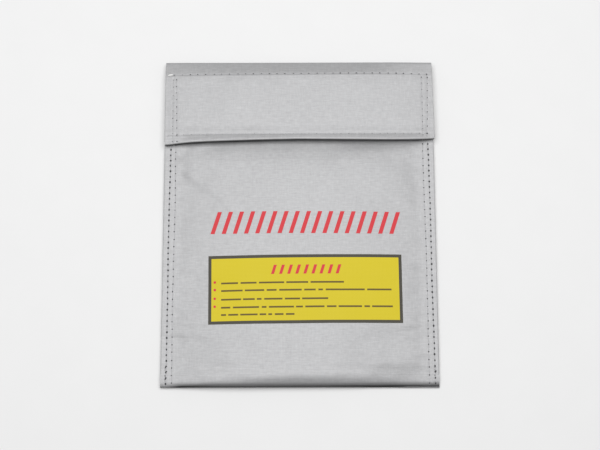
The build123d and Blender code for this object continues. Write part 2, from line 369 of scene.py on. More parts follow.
def weave(s, uv, pitch):
    """Plain weave height, 0 to 1, from coordinates in mm."""
    xyz = s.new("ShaderNodeSeparateXYZ")
    s.put(xyz.inputs[0], uv)
    u = s.math("MULTIPLY", xyz.outputs[0], 1 / pitch)
    v = s.math("MULTIPLY", xyz.outputs[1], 1 / pitch)
    wave_u = s.math("ABSOLUTE", s.math("SINE", s.math("MULTIPLY", u, math.pi)))
    wave_v = s.math("ABSOLUTE", s.math("SINE", s.math("MULTIPLY", v, math.pi)))
    cell = s.math("ADD", s.math("FLOOR", u), s.math("FLOOR", v))
    parity = s.math("PINGPONG", cell, 1.0)

    def crossing(rounding, crown, base):
        return s.math("MULTIPLY", s.math("POWER", rounding, 0.6),
                      s.math("ADD", s.math("MULTIPLY", crown, 0.55), base))

    over = crossing(wave_v, wave_u, base=0.45)
    under = crossing(wave_u, wave_v, base=0.3)
    choice = s.new("ShaderNodeMix", data_type="FLOAT")
    s.put(choice.inputs[0], parity)
    s.put(choice.inputs[2], over)
    s.put(choice.inputs[3], under)
    return choice.outputs[0]


SILVER_PITCH = 0.86                         # mm between the yarns of the silver cloth


def silver_cloth(name):
    """Silver coated glass cloth: fine plain weave under a thin metallic coat,
    with faint level streaks and a little mottling."""
    s = Shader(name)
    uv = s.cloth_uv()
    yarns = weave(s, uv, SILVER_PITCH)
    streaks = s.noise(uv, stretch=(0.035, 1.35, 1.0), detail=3.0, roughness=0.6)
    fine = s.noise(uv, stretch=(0.16, 2.6, 1.0), roughness=0.6)
    cloud = s.noise(uv, stretch=(0.035, 0.035, 1.0), detail=3.0)
    grain = s.noise(uv, stretch=(3.2, 3.2, 1.0), roughness=0.7)
    slub_u = s.noise(uv, stretch=(0.22, 1.15, 1.0), detail=1.0)
    slub_v = s.noise(uv, stretch=(1.15, 0.22, 1.7), detail=1.0)
    tone = s.scale_add(streaks, gain=0.13, base=0.935)
    for layer, gain, base in (
        (fine, 0.16, 0.92), (cloud, 0.06, 0.97), (grain, 0.26, 0.87),
        (yarns, 0.16, 0.90), (slub_u, 0.28, 0.86), (slub_v, 0.20, 0.90),
    ):
        tone = s.math("MULTIPLY", tone, s.scale_add(layer, gain, base))
    # painted shade: the attribute read here darkens the coating by up to 93 % in the gap under
    # the flap's edge, round the flap's turned edge and along the outermost line of the bottom
    # fold
    painted_shade = s.new("ShaderNodeAttribute", attribute_name="painted_edge_shade", attribute_type="GEOMETRY")
    tone = s.math("MULTIPLY", tone, s.scale_add(painted_shade.outputs["Fac"], gain=-0.93, base=1.0))
    tone_color = s.new("ShaderNodeCombineColor")
    for channel in tone_color.inputs[:3]:
        s.put(channel, tone)
    silver = shade((1.0, 1.0, 1.017), 0.356)
    color = s.mix(1.0, silver, tone_color.outputs[0], blend_type="MULTIPLY")
    rough = s.scale_add(cloud, gain=0.10, base=0.41)
    rough = s.math("ADD", rough, s.scale_add(grain, gain=0.10, base=-0.05))
    height = s.math("ADD", s.math("MULTIPLY", yarns, 0.75), s.math("MULTIPLY", streaks, 0.35))
    height = s.math("ADD", height, s.math("MULTIPLY", grain, 0.25))
    return s.finish(color, rough, height, bump_m=0.00005, metallic=0.30)


def ink(name, rgb, wear=0.06):
    """Screen ink over the weave: it thins a little on the yarn tops."""
    s = Shader(name)
    uv = s.cloth_uv()
    yarns = weave(s, uv, SILVER_PITCH)
    grain = s.noise(uv, stretch=(2.4, 2.4, 1.0), detail=3.0, roughness=0.65)
    cloud = s.noise(uv, stretch=(0.06, 0.06, 1.0))
    factor = s.scale_add(yarns, 0.35, s.math("MULTIPLY", grain, 0.65))
    color = s.mix(factor, shade(rgb, 0.86), shade(rgb, 1.10, lift=0.008))
    thin = s.math("MULTIPLY", s.math("POWER", yarns, 3.0), wear)
    color = s.mix(thin, color, (0.5, 0.5, 0.5, 1.0))
    rough = s.scale_add(cloud, gain=0.12, base=0.49)
    height = s.math("ADD", s.math("MULTIPLY", yarns, 0.75), s.math("MULTIPLY", grain, 0.3))
    return s.finish(color, rough, height, bump_m=0.00004, specular=0.22)


def glass_cloth(name, rgb):
    """Bare woven glass lining, open plain weave."""
    s = Shader(name)
    uv = s.cloth_uv()
    yarns = weave(s, uv, pitch=1.15)
    grain = s.noise(uv, stretch=(1.6, 1.6, 1.0), detail=3.0, roughness=0.6)
    cloud = s.noise(uv, stretch=(0.05, 0.05, 1.0))
    factor = s.scale_add(yarns, 0.7, s.math("MULTIPLY", grain, 0.3))
    color = s.mix(factor, shade(rgb, 0.62), shade(rgb))
    rough = s.scale_add(cloud, gain=0.15, base=0.55)
    return s.finish(color, rough, factor, bump_m=0.00014, specular=0.4, sheen=0.15)


def yarn(name, rgb, roughness, contrast, metallic=0.0, scale=2.0):
    """Thread, needle hole or pile: object space grain."""
    s = Shader(name)
    place = s.new("ShaderNodeTexCoord").outputs["Object"]
    place_mm = s.stretched(place, (1000, 1000, 1000))
    grain = s.noise(place_mm, scale=scale, detail=3.0, roughness=0.6)
    broad = s.noise(place_mm, scale=scale * 0.12)
    factor = s.scale_add(grain, 0.7, s.math("MULTIPLY", broad, 0.3))
    color = s.mix(factor, shade(rgb, 1 - contrast), shade(rgb, 1 + contrast))
    rough = s.scale_add(grain, gain=0.2, base=roughness - 0.1)
    return s.finish(color, rough, grain, bump_m=0.00006, metallic=metallic,
                    specular=0.4, sheen=0.1)


def tape_ground(name, rgb):
    """Woven ground of the tapes: a tight plain weave."""
    s = Shader(name)
    uv = s.cloth_uv()
    yarns = weave(s, uv, pitch=0.62)
    grain = s.noise(uv, stretch=(1.8, 1.8, 1.0), roughness=0.6)
    factor = s.scale_add(yarns, 0.7, s.math("MULTIPLY", grain, 0.3))
    color = s.mix(factor, shade(rgb, 0.6), shade(rgb))
    return s.finish(color, 0.62, factor, bump_m=0.0001, specular=0.35, sheen=0.1)


CLOTH_MAT = silver_cloth("silver_cloth")
FLAP_MAT = silver_cloth("silver_cloth_flap")
LINING_MAT = glass_cloth("glass_lining", (0.66, 0.65, 0.61))
THREAD_MAT = yarn("thread_grey", (0.42, 0.42, 0.43), roughness=0.5, contrast=0.25, metallic=0.15)
WHITE_THREAD = yarn("thread_end", (0.90, 0.90, 0.88), roughness=0.5, contrast=0.06)
# the needle holes are painted near-black: painted shade standing in for the shade inside the
# holes
HOLE_SHADE_MAT = yarn("needle_hole", (0.035, 0.035, 0.038), roughness=0.8, contrast=0.3)
TAPE_MAT = tape_ground("tape_ground", (0.30, 0.30, 0.315))
HOOK_MAT = yarn("hook_pile", (0.40, 0.40, 0.42), roughness=0.35, contrast=0.15)
LOOP_MAT = yarn("loop_pile", (0.36, 0.36, 0.375), roughness=0.7, contrast=0.25, scale=4.0)
RED = ink("ink_red", (0.58, 0.030, 0.040))
YELLOW = ink("ink_yellow", (0.585, 0.475, 0.0105), wear=0.02)
FRAME_INK = ink("ink_frame", (0.055, 0.050, 0.036), wear=0.03)
LINE_INK = ink("ink_lines", (0.115, 0.080, 0.015), wear=0.02)

# ------------------------------------------------------------------ front shape
# (y, z) along the middle of the front, before it is rounded
PROFILE_KNOTS = np.array([
    (-120, -2), (-112, 2.8), (-108, 5.6), (-105.2, 7.2), (-102.4, 7.9),
    (-99, FLAT_Z - 0.35), (-95, FLAT_Z - 0.2), (-90, FLAT_Z - 0.1), (-80, FLAT_Z - 0.05),
    (0, FLAT_Z), (15, FLAT_Z), (28, FLAT_Z - 0.15), (34, FLAT_Z - 0.4),
    (40, 6.95), (46, 6.05), (50, 5.15), (54, 4.2), (57, 4.0),
    (60.5, MOUTH_Z), (120, MOUTH_Z),
])
PROFILE_Y = np.arange(-120.0, 120.01, 0.5)
PROFILE_Z = blur(np.interp(PROFILE_Y, PROFILE_KNOTS[:, 0], PROFILE_KNOTS[:, 1]), 2.4, 0)
PROFILE_Z = np.where(PROFILE_Y > 60, MOUTH_Z, PROFILE_Z)
ARCH_X = np.arange(0.0, 100.01, 0.5)


def arch(power, sigma):
    """Share of the full height across the front, from 1 in the middle to 0."""
    share = np.where(ARCH_X < PANEL_HALF, 1 - (ARCH_X / PANEL_HALF) ** power, 0.0)
    return blur(share, sigma, 0)


BELLY_ARCH = arch(2.2, 4.0)
MOUTH_ARCH = arch(2, 3.0)


def front_base(x, y):
    middle = np.interp(y, PROFILE_Y, PROFILE_Z)
    near_mouth = smooth(50, 58, y)
    share = (np.interp(np.abs(x), ARCH_X, BELLY_ARCH) * (1 - near_mouth)
             + np.interp(np.abs(x), ARCH_X, MOUTH_ARCH) * near_mouth)
    return HEM_TOP + (middle - HEM_TOP) * share


def mouth_arch(x):
    return HEM_TOP + (MOUTH_Z - HEM_TOP) * (1 - (x / PANEL_HALF) ** 2)


SIM_X, SIM_Y_TOP = 80.5, 60                 # edges of the simulated cloth


def simulate_front():
    """Cloth simulation of the front panel, sewn down at its edges, with a
    little more cloth than it needs. Returns x, y and the wrinkles in mm."""
    scale = 0.01                            # 1 mm is 0.01 units, ten times life size
    xs = np.linspace(-SIM_X, SIM_X, 70)
    ys = np.linspace(Y_JOIN, SIM_Y_TOP, 72)
    X, Y = np.meshgrid(xs, ys, indexing="ij")
    Z = front_base(X, Y)
    Z = Z + 0.25 * Field(31, 22)(X, Y) * smooth(80, 70, np.abs(X)) * smooth(60, 50, Y)
    index = np.arange(X.size).reshape(X.shape)
    verts = np.stack([X, Y, Z], -1).reshape(-1, 3)
    ob = mesh_from("sim_front", verts * (scale / MM), grid_quads(index), None)
    border = np.unique(np.concatenate([index[0], index[-1], index[:, 0], index[:, -1]]))
    ob.vertex_groups.new(name="hold").add(border.tolist(), 1.0, "REPLACE")
    cloth = ob.modifiers.new("cloth", "CLOTH")
    s = cloth.settings
    s.quality = 7
    s.mass = 0.35
    s.tension_stiffness = s.compression_stiffness = 40
    s.shear_stiffness = 20
    s.bending_stiffness = 0.9
    s.tension_damping = s.compression_damping = s.shear_damping = 12
    s.bending_damping = 1.0
    s.air_damping = 2.0
    s.vertex_group_mass = "hold"
    s.shrink_min = -0.011                   # negative: the cloth grows
    s.use_pressure = True
    s.uniform_pressure_force = 0.55
    s.effector_weights.gravity = 0
    cloth.collision_settings.use_collision = False
    cloth.point_cache.frame_end = 40
    scene = bpy.context.scene
    for f in range(1, 36):
        scene.frame_set(f)
    evaluated = ob.evaluated_get(bpy.context.evaluated_depsgraph_get())
    co = np.zeros(X.size * 3, np.float32)
    evaluated.data.vertices.foreach_get("co", co)
    settled = co.reshape(*X.shape, 3) / scale
    scene.frame_set(1)
    bpy.data.objects.remove(ob)
    wrinkles = settled[..., 2] - front_base(X, Y)
    wrinkles = wrinkles - blur_both(wrinkles, 13 / (xs[1] - xs[0]))
    inside = (smooth(0, 3, SIM_X - np.abs(X)) * smooth(Y_JOIN, Y_JOIN + 4, Y)
              * smooth(SIM_Y_TOP, 54, Y))
    return xs, ys, 0.20 * np.tanh(wrinkles / 0.9) * inside


def upsample(xs, ys, heights, n=4):
    """Finer and rounder grid, so that no facet of the simulation shows."""
    fine_x = np.linspace(xs[0], xs[-1], (len(xs) - 1) * n + 1)
    fine_y = np.linspace(ys[0], ys[-1], (len(ys) - 1) * n + 1)
    fine = np.stack([np.interp(fine_x, xs, column) for column in heights.T], 1)
    fine = np.stack([np.interp(fine_y, ys, row) for row in fine], 0)
    return fine_x, fine_y, blur_both(fine, n * 0.55)


class HeightGrid:
    """Looks up heights on a regular grid; 0 outside it."""

    def __init__(self, xs, ys, heights):
        self.xs, self.ys, self.heights = xs, ys, heights

    def __call__(self, x, y):
        x, y = np.broadcast_arrays(np.asarray(x, float), np.asarray(y, float))
        xs, ys, h = self.xs, self.ys, self.heights
        across = np.clip((x - xs[0]) / (xs[1] - xs[0]), 0, len(xs) - 1.001)
        along = np.clip((y - ys[0]) / (ys[1] - ys[0]), 0, len(ys) - 1.001)
        i, j = across.astype(int), along.astype(int)
        tx, ty = smooth(0, 1, across - i), smooth(0, 1, along - j)
        value = (
            h[i, j] * (1 - tx) * (1 - ty) + h[i + 1, j] * tx * (1 - ty)
            + h[i, j + 1] * (1 - tx) * ty + h[i + 1, j + 1] * tx * ty
        )
        inside = (np.abs(x) < SIM_X) & (y > ys[0]) & (y < ys[-1])
        return np.where(inside, value, 0.0)


wrinkles_at = HeightGrid(*upsample(*simulate_front()))


def fold(x, y, start, end, width, height, fade, lean):
    """A soft ridge (or valley) from start to end, fading out at its ends."""
    start, end = np.array(start, float), np.array(end, float)
    d = end - start
    length = np.linalg.norm(d)
    d /= length
    s = (x - start[0]) * d[0] + (y - start[1]) * d[1]
    across = (-(x - start[0]) * d[1] + (y - start[1]) * d[0]) / width
    along = smooth(-fade, fade, s) * smooth(length + fade, length - fade, s)
    bell = np.exp(-across * across)
    return height * along * (bell - lean * across * bell)


# start, end, width, height, fade at the ends, lean to one side
FRONT_FOLDS = (
    ((-82, 40), (-44, 12), 5.0, 0.50, 12, 0.8),
    ((-80, 30), (-56, 14), 3.4, -0.15, 8, 0.0),
    ((84, 36), (52, 18), 5.5, 0.10, 12, 0.6),
    ((80, 8), (60, 16), 2.4, 0.16, 7, 0.8),
    ((82, 0), (68, 6), 2.2, -0.12, 6, 0.0),
    ((-84, -66), (-62, -69), 3.0, 0.32, 7, 0.7),
    ((-89, -77.6), (-74, -78.3), 0.7, -0.16, 4, 0.0),
    ((-86, -74), (-62, -76), 3.0, 0.35, 8, 0.0),
    ((-89, -85.8), (-84, -86), 0.7, -0.14, 2, 0.0),
    ((84, -69), (66, -72), 2.8, 0.30, 6, 0.7),
    ((84, -77), (68, -82), 2.6, -0.25, 6, 0.0),
    ((85, -88), (72, -90), 3.0, 0.35, 6, 0.0),
    ((-84, -30), (-70, -26), 3.2, 0.28, 6, 0.0),
    ((84, -38), (70, -34), 3.2, 0.28, 6, 0.0),
    ((30, -98), (-30, -97), 5.0, 0.35, 25, 0.0),
)
wide_waves = Field(3, 60)
mid_waves = Field(5, 24)
pucker_waves = {-1: Field(41, 11, 10), 1: Field(42, 11, 10)}


def stitch_marks(start, end, pitch, seed, jitter=0.05):
    """Needle places along a row, a little uneven."""
    r = np.random.default_rng(seed)
    n = int(round((end - start) / pitch))
    even = start + np.arange(n + 1) * (end - start) / n
    return even + r.uniform(-jitter, jitter, n + 1) * pitch


SEAM_ROWS = ((X_SIDE - 4.0, 3.7), (X_SIDE - 7.5, 5.0))    # x and pitch, outer then inner
Y_SEAM_LOW, Y_SEAM_HIGH = Y_BOT + 2.0, Y_MOUTH - 0.8


def seam_row(side, row):
    x_row, pitch = SEAM_ROWS[row]
    y = stitch_marks(Y_SEAM_LOW + 0.4 * row, Y_SEAM_HIGH, pitch, seed=100 + row + side)
    wobble = (0.16 * np.sin(y / 19 + 2 * row + side)
              + np.random.default_rng(9 + row + side).uniform(-0.1, 0.1, len(y)))
    down = np.clip((60 - y) / 165, 0, 1)
    lean = 0.2 + 1.1 * down if side > 0 else -0.45 * down
    return side * x_row + wobble + lean, y


SEAM = {(side, row): seam_row(side, row) for side in (-1, 1) for row in (0, 1)}


def seam_dimple(x, y, hole=0.13, row=0.05):
    """Pull-down of the cloth at the side stitching."""
    out = np.zeros(np.broadcast(x, y).shape)
    for seam_x, seam_y in SEAM.values():
        d = x - np.interp(y, seam_y, seam_x)
        live = (smooth(seam_y[0] - 2.5, seam_y[0], y)
                * smooth(seam_y[-1] + 2.5, seam_y[-1], y))
        phase = (y - seam_y[0]) / (seam_y[-1] - seam_y[0]) * (len(seam_y) - 1)
        to_hole = (phase - np.round(phase)) * (seam_y[1] - seam_y[0])
        depth = row * gauss(d, 0.95) * live
        depth = depth + hole * gauss(to_hole, 0.75) * live * gauss(d, 0.8)
        # pucker, once per stitch along the row
        depth = depth - 0.035 * np.cos(2 * np.pi * phase) * gauss(d, 2.2) * live
        out = out - np.where(np.abs(d) < 4, depth, 0.0)
    return out


def front_plain(x, y):
    """Outer height of the front without the stitch dimples, mm."""
    z = front_base(x, y) + wrinkles_at(x, y)
    free = (smooth(PANEL_HALF + 1.5, PANEL_HALF - 12, np.abs(x))
            * smooth(Y_JOIN, -92, y) * smooth(56, 44, y))
    z = z + free * (0.16 * wide_waves(x, y) + 0.035 * mid_waves(x, y))
    z = z + smooth(60, 52, y) * sum(fold(x, y, *entry) for entry in FRONT_FOLDS)
    # the lower right runs down to the bottom fold earlier, the lower left later
    z = z - 1.30 * smooth(-94, -104, y) * gauss(x - 60, 26)
    z = z + 0.60 * smooth(-97, -103, y) * gauss(x + 54, 28)
    # at the right the cloth dips under the flap's edge
    z = z - 0.50 * smooth(15, 50, x) * (1 - 0.45 * smooth(72, 84, x)) * gauss(y - 52.5, 3.4)
    # small puckers between the stitch rows and the free cloth
    for side, waves in pucker_waves.items():
        z = z + 0.10 * waves(0 * x, y) * gauss(x - side * 79.0, 4.5) * smooth(-106, -96, y)
    return z


def front(x, y):
    """Outer height of the front, mm."""
    return front_plain(x, y) + seam_dimple(x, y)


# ------------------------------------------------------------------ front pieces
half_x = spread([(0.0, 1.75), (70.0, 1.2), (80.0, 0.5), X_EDGE])
MAIN_X = mirrored(half_x)
ROWS_Y = spread([(Y_JOIN, 0.85), Y_MOUTH - ROLL])

# (x, y) where the flap's edge lies
EDGE_KNOTS = np.array([
    (-90, 51.8), (-84, 52.25), (-76, 53.0), (-62, 53.65), (-45, 54.05), (-20, 54.6), (0, 54.9),
    (30, 54.7), (60, 54.6), (78, 54.9), (86, 55.55), (90, 56.2),
])


def front_grid():
    """Columns from the left turned-under edge over the front to the right one."""
    X, Y = np.meshgrid(MAIN_X, ROWS_Y, indexing="ij")
    main = np.stack([X, Y, front(X, Y)], -1)
    turns = []
    for side, edge_z in ((-1, main[0, :, 2]), (1, main[-1, :, 2])):
        columns = []
        for x in np.linspace(81.4, X_EDGE, 9)[:-1]:
            dip = 0.8 * seam_dimple(side * x, ROWS_Y)
            columns.append(points(side * x, ROWS_Y, edge_z - 2 * ROLL + dip))
        for a in np.radians(np.linspace(-90, -270, 7))[:-1]:
            x = side * (X_EDGE + ROLL_X * abs(math.cos(a)))
            columns.append(points(x, ROWS_Y, edge_z - ROLL + ROLL * math.sin(a)))
        turns.append(columns)
    return np.concatenate([np.stack(turns[0]), main, np.stack(turns[1][::-1])])


def build_front_cloth():
    grid = front_grid()
    # painted shade: a thin dark line on the coating just under the flap's edge, where the gap
    # beneath the edge lies in shade
    beyond = grid[..., 1] - np.interp(grid[..., 0], EDGE_KNOTS[:, 0], EDGE_KNOTS[:, 1])
    painted_gap_shade = 0.72 * smooth(-1.0, -0.05, beyond) * smooth(1.8, 1.0, beyond)
    front_sheet("front_cloth", grid, CLOTH_MAT, CLOTH,
                ("front_panel", "{}_side_hem"), arc_uv=True, dark=painted_gap_shade)


def build_mouth_hem():
    """Turned edge of the mouth, on the free part."""
    x = mirrored(half_x[half_x <= 80.5])
    edge_z = front(x, Y_MOUTH - ROLL)
    profile = turned_profile(Y_MOUTH - ROLL, ROLL, Y_MOUTH - 10, 9)
    grid = np.stack([points(x, y, edge_z + dz) for y, dz in profile], 1)
    front_sheet("mouth_hem", grid, CLOTH_MAT, CLOTH, ("mouth_hem",), arc_uv=True)


def build_front_lining():
    X, Y = np.meshgrid(mirrored(spread([(0.0, 3.0), 79.0])),
                       spread([(Y_JOIN + 1.5, 2.4), Y_MOUTH - 10.6]), indexing="ij")
    Z = front(X, Y) - CLOTH - 0.12 - 0.10 * smooth(0, 6, 79 - np.abs(X))
    front_sheet("front_lining", np.stack([X, Y, Z], -1), LINING_MAT, LINING,
                ("front_lining",))


build_front_cloth()
build_mouth_hem()
build_front_lining()

# ------------------------------------------------------------------ flap shape
Y_ROW_TOP, Y_ROW_LOW = 100.3, 57.4          # upper and lower ends of the flap's side rows
FLAP_ROLL = ROLL + 0.25                     # the flap's own edge is turned more loosely
CROSS_PITCH = 5.3
FLAP_JITTER = 0.06
# (x, y) of the lower cross row of stitches
LOW_KNOTS = np.array([
    (-92, 57.7), (-83, 57.95), (-62, 58.2), (-20, 58.1), (0, 58.05), (27, 58.15), (50, 58.35),
    (71, 58.5), (83, 58.75), (92, 58.8),
])
LINE_X = np.linspace(-92, 92, 369)
EDGE_LINE = blur(np.interp(LINE_X, EDGE_KNOTS[:, 0], EDGE_KNOTS[:, 1]), 8, 0)
LOW_LINE = blur(np.interp(LINE_X, LOW_KNOTS[:, 0], LOW_KNOTS[:, 1]), 10, 0)


def flap_edge(x):
    return np.interp(x, LINE_X, EDGE_LINE)


def stitch_low(x):
    return np.interp(x, LINE_X, LOW_LINE)


def stitch_top(x):
    """The upper cross row wanders a little, up to the right."""
    return (Y_ROW_TOP + 0.55 * smooth(-20, 60, x) - 0.5 * smooth(60, 90, x)
            - 0.15 * smooth(-60, -90, x))


def skew(x, y):
    """The right side of the flap stands a little askew over the pouch."""
    return smooth(62, 90, x) * (-0.35 + 1.0 * np.clip((Y_TOP - y) / 55, 0, 1))


TOP_X = stitch_marks(-84.0, 86.65, CROSS_PITCH, seed=11, jitter=FLAP_JITTER)
LOW_X = stitch_marks(-87.5, 85.2, CROSS_PITCH, seed=12, jitter=FLAP_JITTER)
# (side, row): x at y = 100, lean per 42 mm down, pitch, first y, last y; row 0 is the outer
FLAP_ROWS = {
    (-1, 0): (-84.65, 0.0, 5.2, Y_ROW_LOW - 4.0, Y_ROW_TOP - 3.5),
    (-1, 1): (-82.7, 1.05, 4.9, Y_ROW_LOW - 4.0, Y_ROW_TOP - 3.5),
    (1, 0): (86.6, -0.95, 4.9, Y_ROW_LOW + 1.3, Y_ROW_TOP - 2.0),
    (1, 1): (82.6, 0.1, 4.6, Y_ROW_LOW, Y_ROW_TOP - 2.0),
}
FLAP_SEAM = {}
for (side, row), (x_row, lean, pitch, first, last) in FLAP_ROWS.items():
    y = stitch_marks(first, last, pitch, seed=60 + row + side, jitter=FLAP_JITTER)
    x = x_row + lean * (100 - y) / 42
    FLAP_SEAM[side, row] = (x - skew(x, y), y)
flap_waves = Field(15, 38)
flap_ripples = Field(17, 13)


def cross_dimple(x, y, row_y, marks, hole, row, width):
    """Pull-down of the flap at a cross row."""
    live = smooth(marks[0] - 3, marks[0], x) * smooth(marks[-1] + 3, marks[-1], x)
    d = y - row_y
    phase = np.interp(x, marks, np.arange(len(marks)))
    pit = gauss((phase - np.round(phase)) * CROSS_PITCH, 0.8)
    return -live * (row * gauss(d, width) + hole * pit * gauss(d, 0.7)
                    + 0.03 * np.cos(2 * np.pi * phase) * gauss(d - 1.2, 1.6))


def flap_side_dimple(x, y, hole=0.12, row=0.04):
    """Pull-down of the flap at its side rows."""
    out = 0.0
    for row_x, row_y in FLAP_SEAM.values():
        d = x - np.interp(y, row_y, row_x)
        live = smooth(row_y[0] - 3, row_y[0], y) * smooth(row_y[-1] + 3, row_y[-1], y)
        phase = np.interp(y, row_y, np.arange(len(row_y)))
        pit = gauss((phase - np.round(phase)) * (row_y[1] - row_y[0]), 0.75)
        out = out - live * (row + hole * pit) * gauss(d, 0.75)
    return out


def flap_top_line(x):
    return mouth_arch(x) + (FLAP_TOP_Z - MOUTH_Z) - 0.45 * smooth(80, 90, np.abs(x))


def flap(x, y):
    """Outer height of the flap between its edge and the upper cross row."""
    edge = flap_edge(x)
    z = flap_top_line(x) + 0.10 * flap_waves(x, y) * smooth(99, 92, y) * smooth(59, 66, y)
    z = z + 0.015 * flap_ripples(x, y) * smooth(100, 95, y)
    # between the cross rows the tape lifts the cloth a little
    z = z + 0.20 * (smooth(Y_ROW_LOW + 4, Y_ROW_LOW + 12, y)
                    * smooth(Y_ROW_TOP, Y_ROW_TOP - 6, y))
    # and the turned edge under it is thick up to where it ends
    z = z + 0.22 * smooth(64.0, 59.5, y)
    # below the lower row the turned edge stands off and curls up
    low = stitch_low(x)
    t = np.clip((low - y) / np.maximum(low - edge, 0.5), 0, 1)
    outward = np.where(np.asarray(x) > 0, x, -1.04 * np.asarray(x))
    lift = 0.04 + 0.82 * smooth(90, 72, outward) * (1 - 0.30 * gauss(x - 12, 34))
    z = z + lift * (1.2 * t - 0.2 * t ** 6) ** 1.3
    z = z + cross_dimple(x, y, low, LOW_X, hole=0.08, row=0.12, width=0.6)
    z = z + cross_dimple(x, y, stitch_top(x), TOP_X, hole=0.14, row=0.05, width=0.5)
    return z + flap_side_dimple(x, y)


def crease_z(x):
    """Height of the top crease; it is pressed less at the right."""
    return 0.5 * flap_top_line(x) + 0.95 * smooth(46, 76, x)


def crease_y(x):
    """The top crease is drawn in a little where the layers under it are thick."""
    return Y_TOP - 0.12 - 0.55 * (1 - (x / X_SIDE) ** 2) - 0.62 * smooth(45, 88, x)


def flap_drop(x, y):
    """How far the cloth falls from the upper row to the top crease."""
    crease, row = crease_y(x), stitch_top(x)
    s = np.clip((y - row + 1.2) / (crease - row + 1.2), 0, 1)
    near = np.clip((y - (crease - 1.6)) / 1.6, 0, 1)
    tip = 0.75 * (1 - np.sqrt(np.maximum(0.0, 1 - near * near)))
    return (flap_top_line(x) - crease_z(x) - 0.75) * s ** 1.12 + tip


def flap_full(x, y):
    """Outer height of the flap cloth from its edge to the top crease."""
    x, y = np.broadcast_arrays(np.asarray(x, float), np.asarray(y, float))
    return flap(x, y) - flap_drop(x, y)


def under_margin(x, y):
    """Lower face of the flap's turned side margin."""
    return flap_full(np.sign(x) * X_EDGE, y) - 2 * ROLL


def under_edge(x, y):
    """Lower face of the flap's turned-under edge."""
    return np.minimum(flap(x, flap_edge(x)), flap(x, y) + 0.15) - 2 * FLAP_ROLL


def lining_outer(x, y):
    return flap_top_line(x) - flap_drop(x, y) - CLOTH - 0.18


# ------------------------------------------------------------------ flap pieces
FLAP_X = mirrored(spread([(0.0, 1.05), (79.5, 0.45), X_EDGE]))
Y_EVEN, Y_SLOPE = 56.9, 102.2               # between them the rows are level
UNDER_ROWS = 7
# painted shade on the coating over the rows round the flap's turned edge, which hangs over the
# dark gap
EDGE_SHADE = [0.4, 0.7, 0.85, 0.92, 0.95, 0.95, 0.82, 0.5, 0.15, 0.0]


def flap_grid():
    """Rows run from the turned-under edge, round the edge, up to the crease."""
    edge = flap_edge(FLAP_X)
    edge_z = flap(FLAP_X, edge)
    rows = []
    for f in np.linspace(1, 0, UNDER_ROWS + 1)[:-1]:
        y = edge + 7.5 * f
        rows.append(points(FLAP_X, y, under_edge(FLAP_X, y)))
    for a in np.radians(np.linspace(-90, -270, len(EDGE_SHADE) + 1))[:-1]:
        rows.append(points(FLAP_X, edge + FLAP_ROLL * math.cos(a),
                           edge_z - FLAP_ROLL + FLAP_ROLL * math.sin(a)))
    top = [edge + (Y_EVEN - edge) * f for f in np.linspace(0, 1, 9)[:-1]]
    top += list(spread([(Y_EVEN, 0.33), (61.0, 0.9), (97.0, 0.36), (101.6, 0.5), Y_SLOPE]))
    # slope down to the crease, with a tight round nose
    slope = np.concatenate([np.linspace(0, 0.46, 7)[1:], np.linspace(0.49, 0.93, 19),
                            [0.955, 0.975, 0.99, 1.0]])
    top += [Y_SLOPE + (crease_y(FLAP_X) - Y_SLOPE) * f for f in slope]
    rows += [points(FLAP_X, y, flap_full(FLAP_X, y)) for y in top]
    grid = np.stack(rows, 1)
    grid[..., 0] += skew(grid[..., 0], grid[..., 1])
    return grid


def build_flap_cloth(grid):
    uv = path_uv(grid, len(FLAP_X) // 2)
    uv[..., 1] = 300.37 - uv[..., 1]        # the weave's v runs the other way from here
    # painted shade round the turned edge of the flap
    painted_shade = np.zeros(grid.shape[:2])
    painted_shade[:, UNDER_ROWS:UNDER_ROWS + len(EDGE_SHADE)] = EDGE_SHADE
    ob = sheet("flap_cloth_outer", grid, FLAP_MAT, CLOTH, uv, dark=painted_shade)
    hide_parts("flap_cloth", "flap_edge_hem", "top_fold")
    bend_flap(ob)


def build_flap_margins(grid):
    """Turned side margins of the flap."""
    for side, side_name in SIDES:
        edge = grid[0 if side < 0 else -1][20:-4]
        columns = [points(side * (x - X_EDGE) + edge[:, 0], edge[:, 1], edge[:, 2] + dz)
                   for x, dz in turned_profile(X_EDGE, ROLL_X, 79.8, 7)]
        margin = np.stack(columns[::side])
        ob = sheet(f"flap_margin_{side_name}", margin, FLAP_MAT,
                   CLOTH - 0.03, path_uv(margin, 0))
        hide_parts(f"flap_{side_name}_hem")
        bend_flap(ob)


flap_points = flap_grid()
build_flap_cloth(flap_points)
build_flap_margins(flap_points)

# ------------------------------------------------------------------ back and bottom fold
Y_NOSE = Y_BOT + 1.3                        # the back reaches the floor behind this
Y_EDGE = Y_BOT - 0.35                       # the bottom fold is soft and rolls out a little
Y_RISE = 103.0                              # the back rises to the crease from here
BACK_X = np.concatenate([[-X_SIDE], MAIN_X, [X_SIDE]])
JOIN_Z = front_plain(BACK_X, Y_JOIN)
JOIN_SLOPE = (front_plain(BACK_X, Y_JOIN + 0.4) - JOIN_Z) / 0.4
NOSE_Z = 1.30 + 0.10 * (JOIN_Z - HEM_TOP)   # height of the outermost line of the fold
back_waves = Field(23, 50)


def back_low(x, y):
    """Lowest surface: it lies flat, and lifts a little where nothing presses."""
    free = smooth(78, 60, np.abs(x)) * smooth(-104, -90, y) * smooth(100, 86, y)
    z = 0.05 + 0.30 * smooth(0.2, 1.6, back_waves(x, y)) * free
    z = z - seam_dimple(x, y, hole=0.14, row=0.10) * smooth(-109, -107.5, y)
    return np.maximum(z, 0.0)


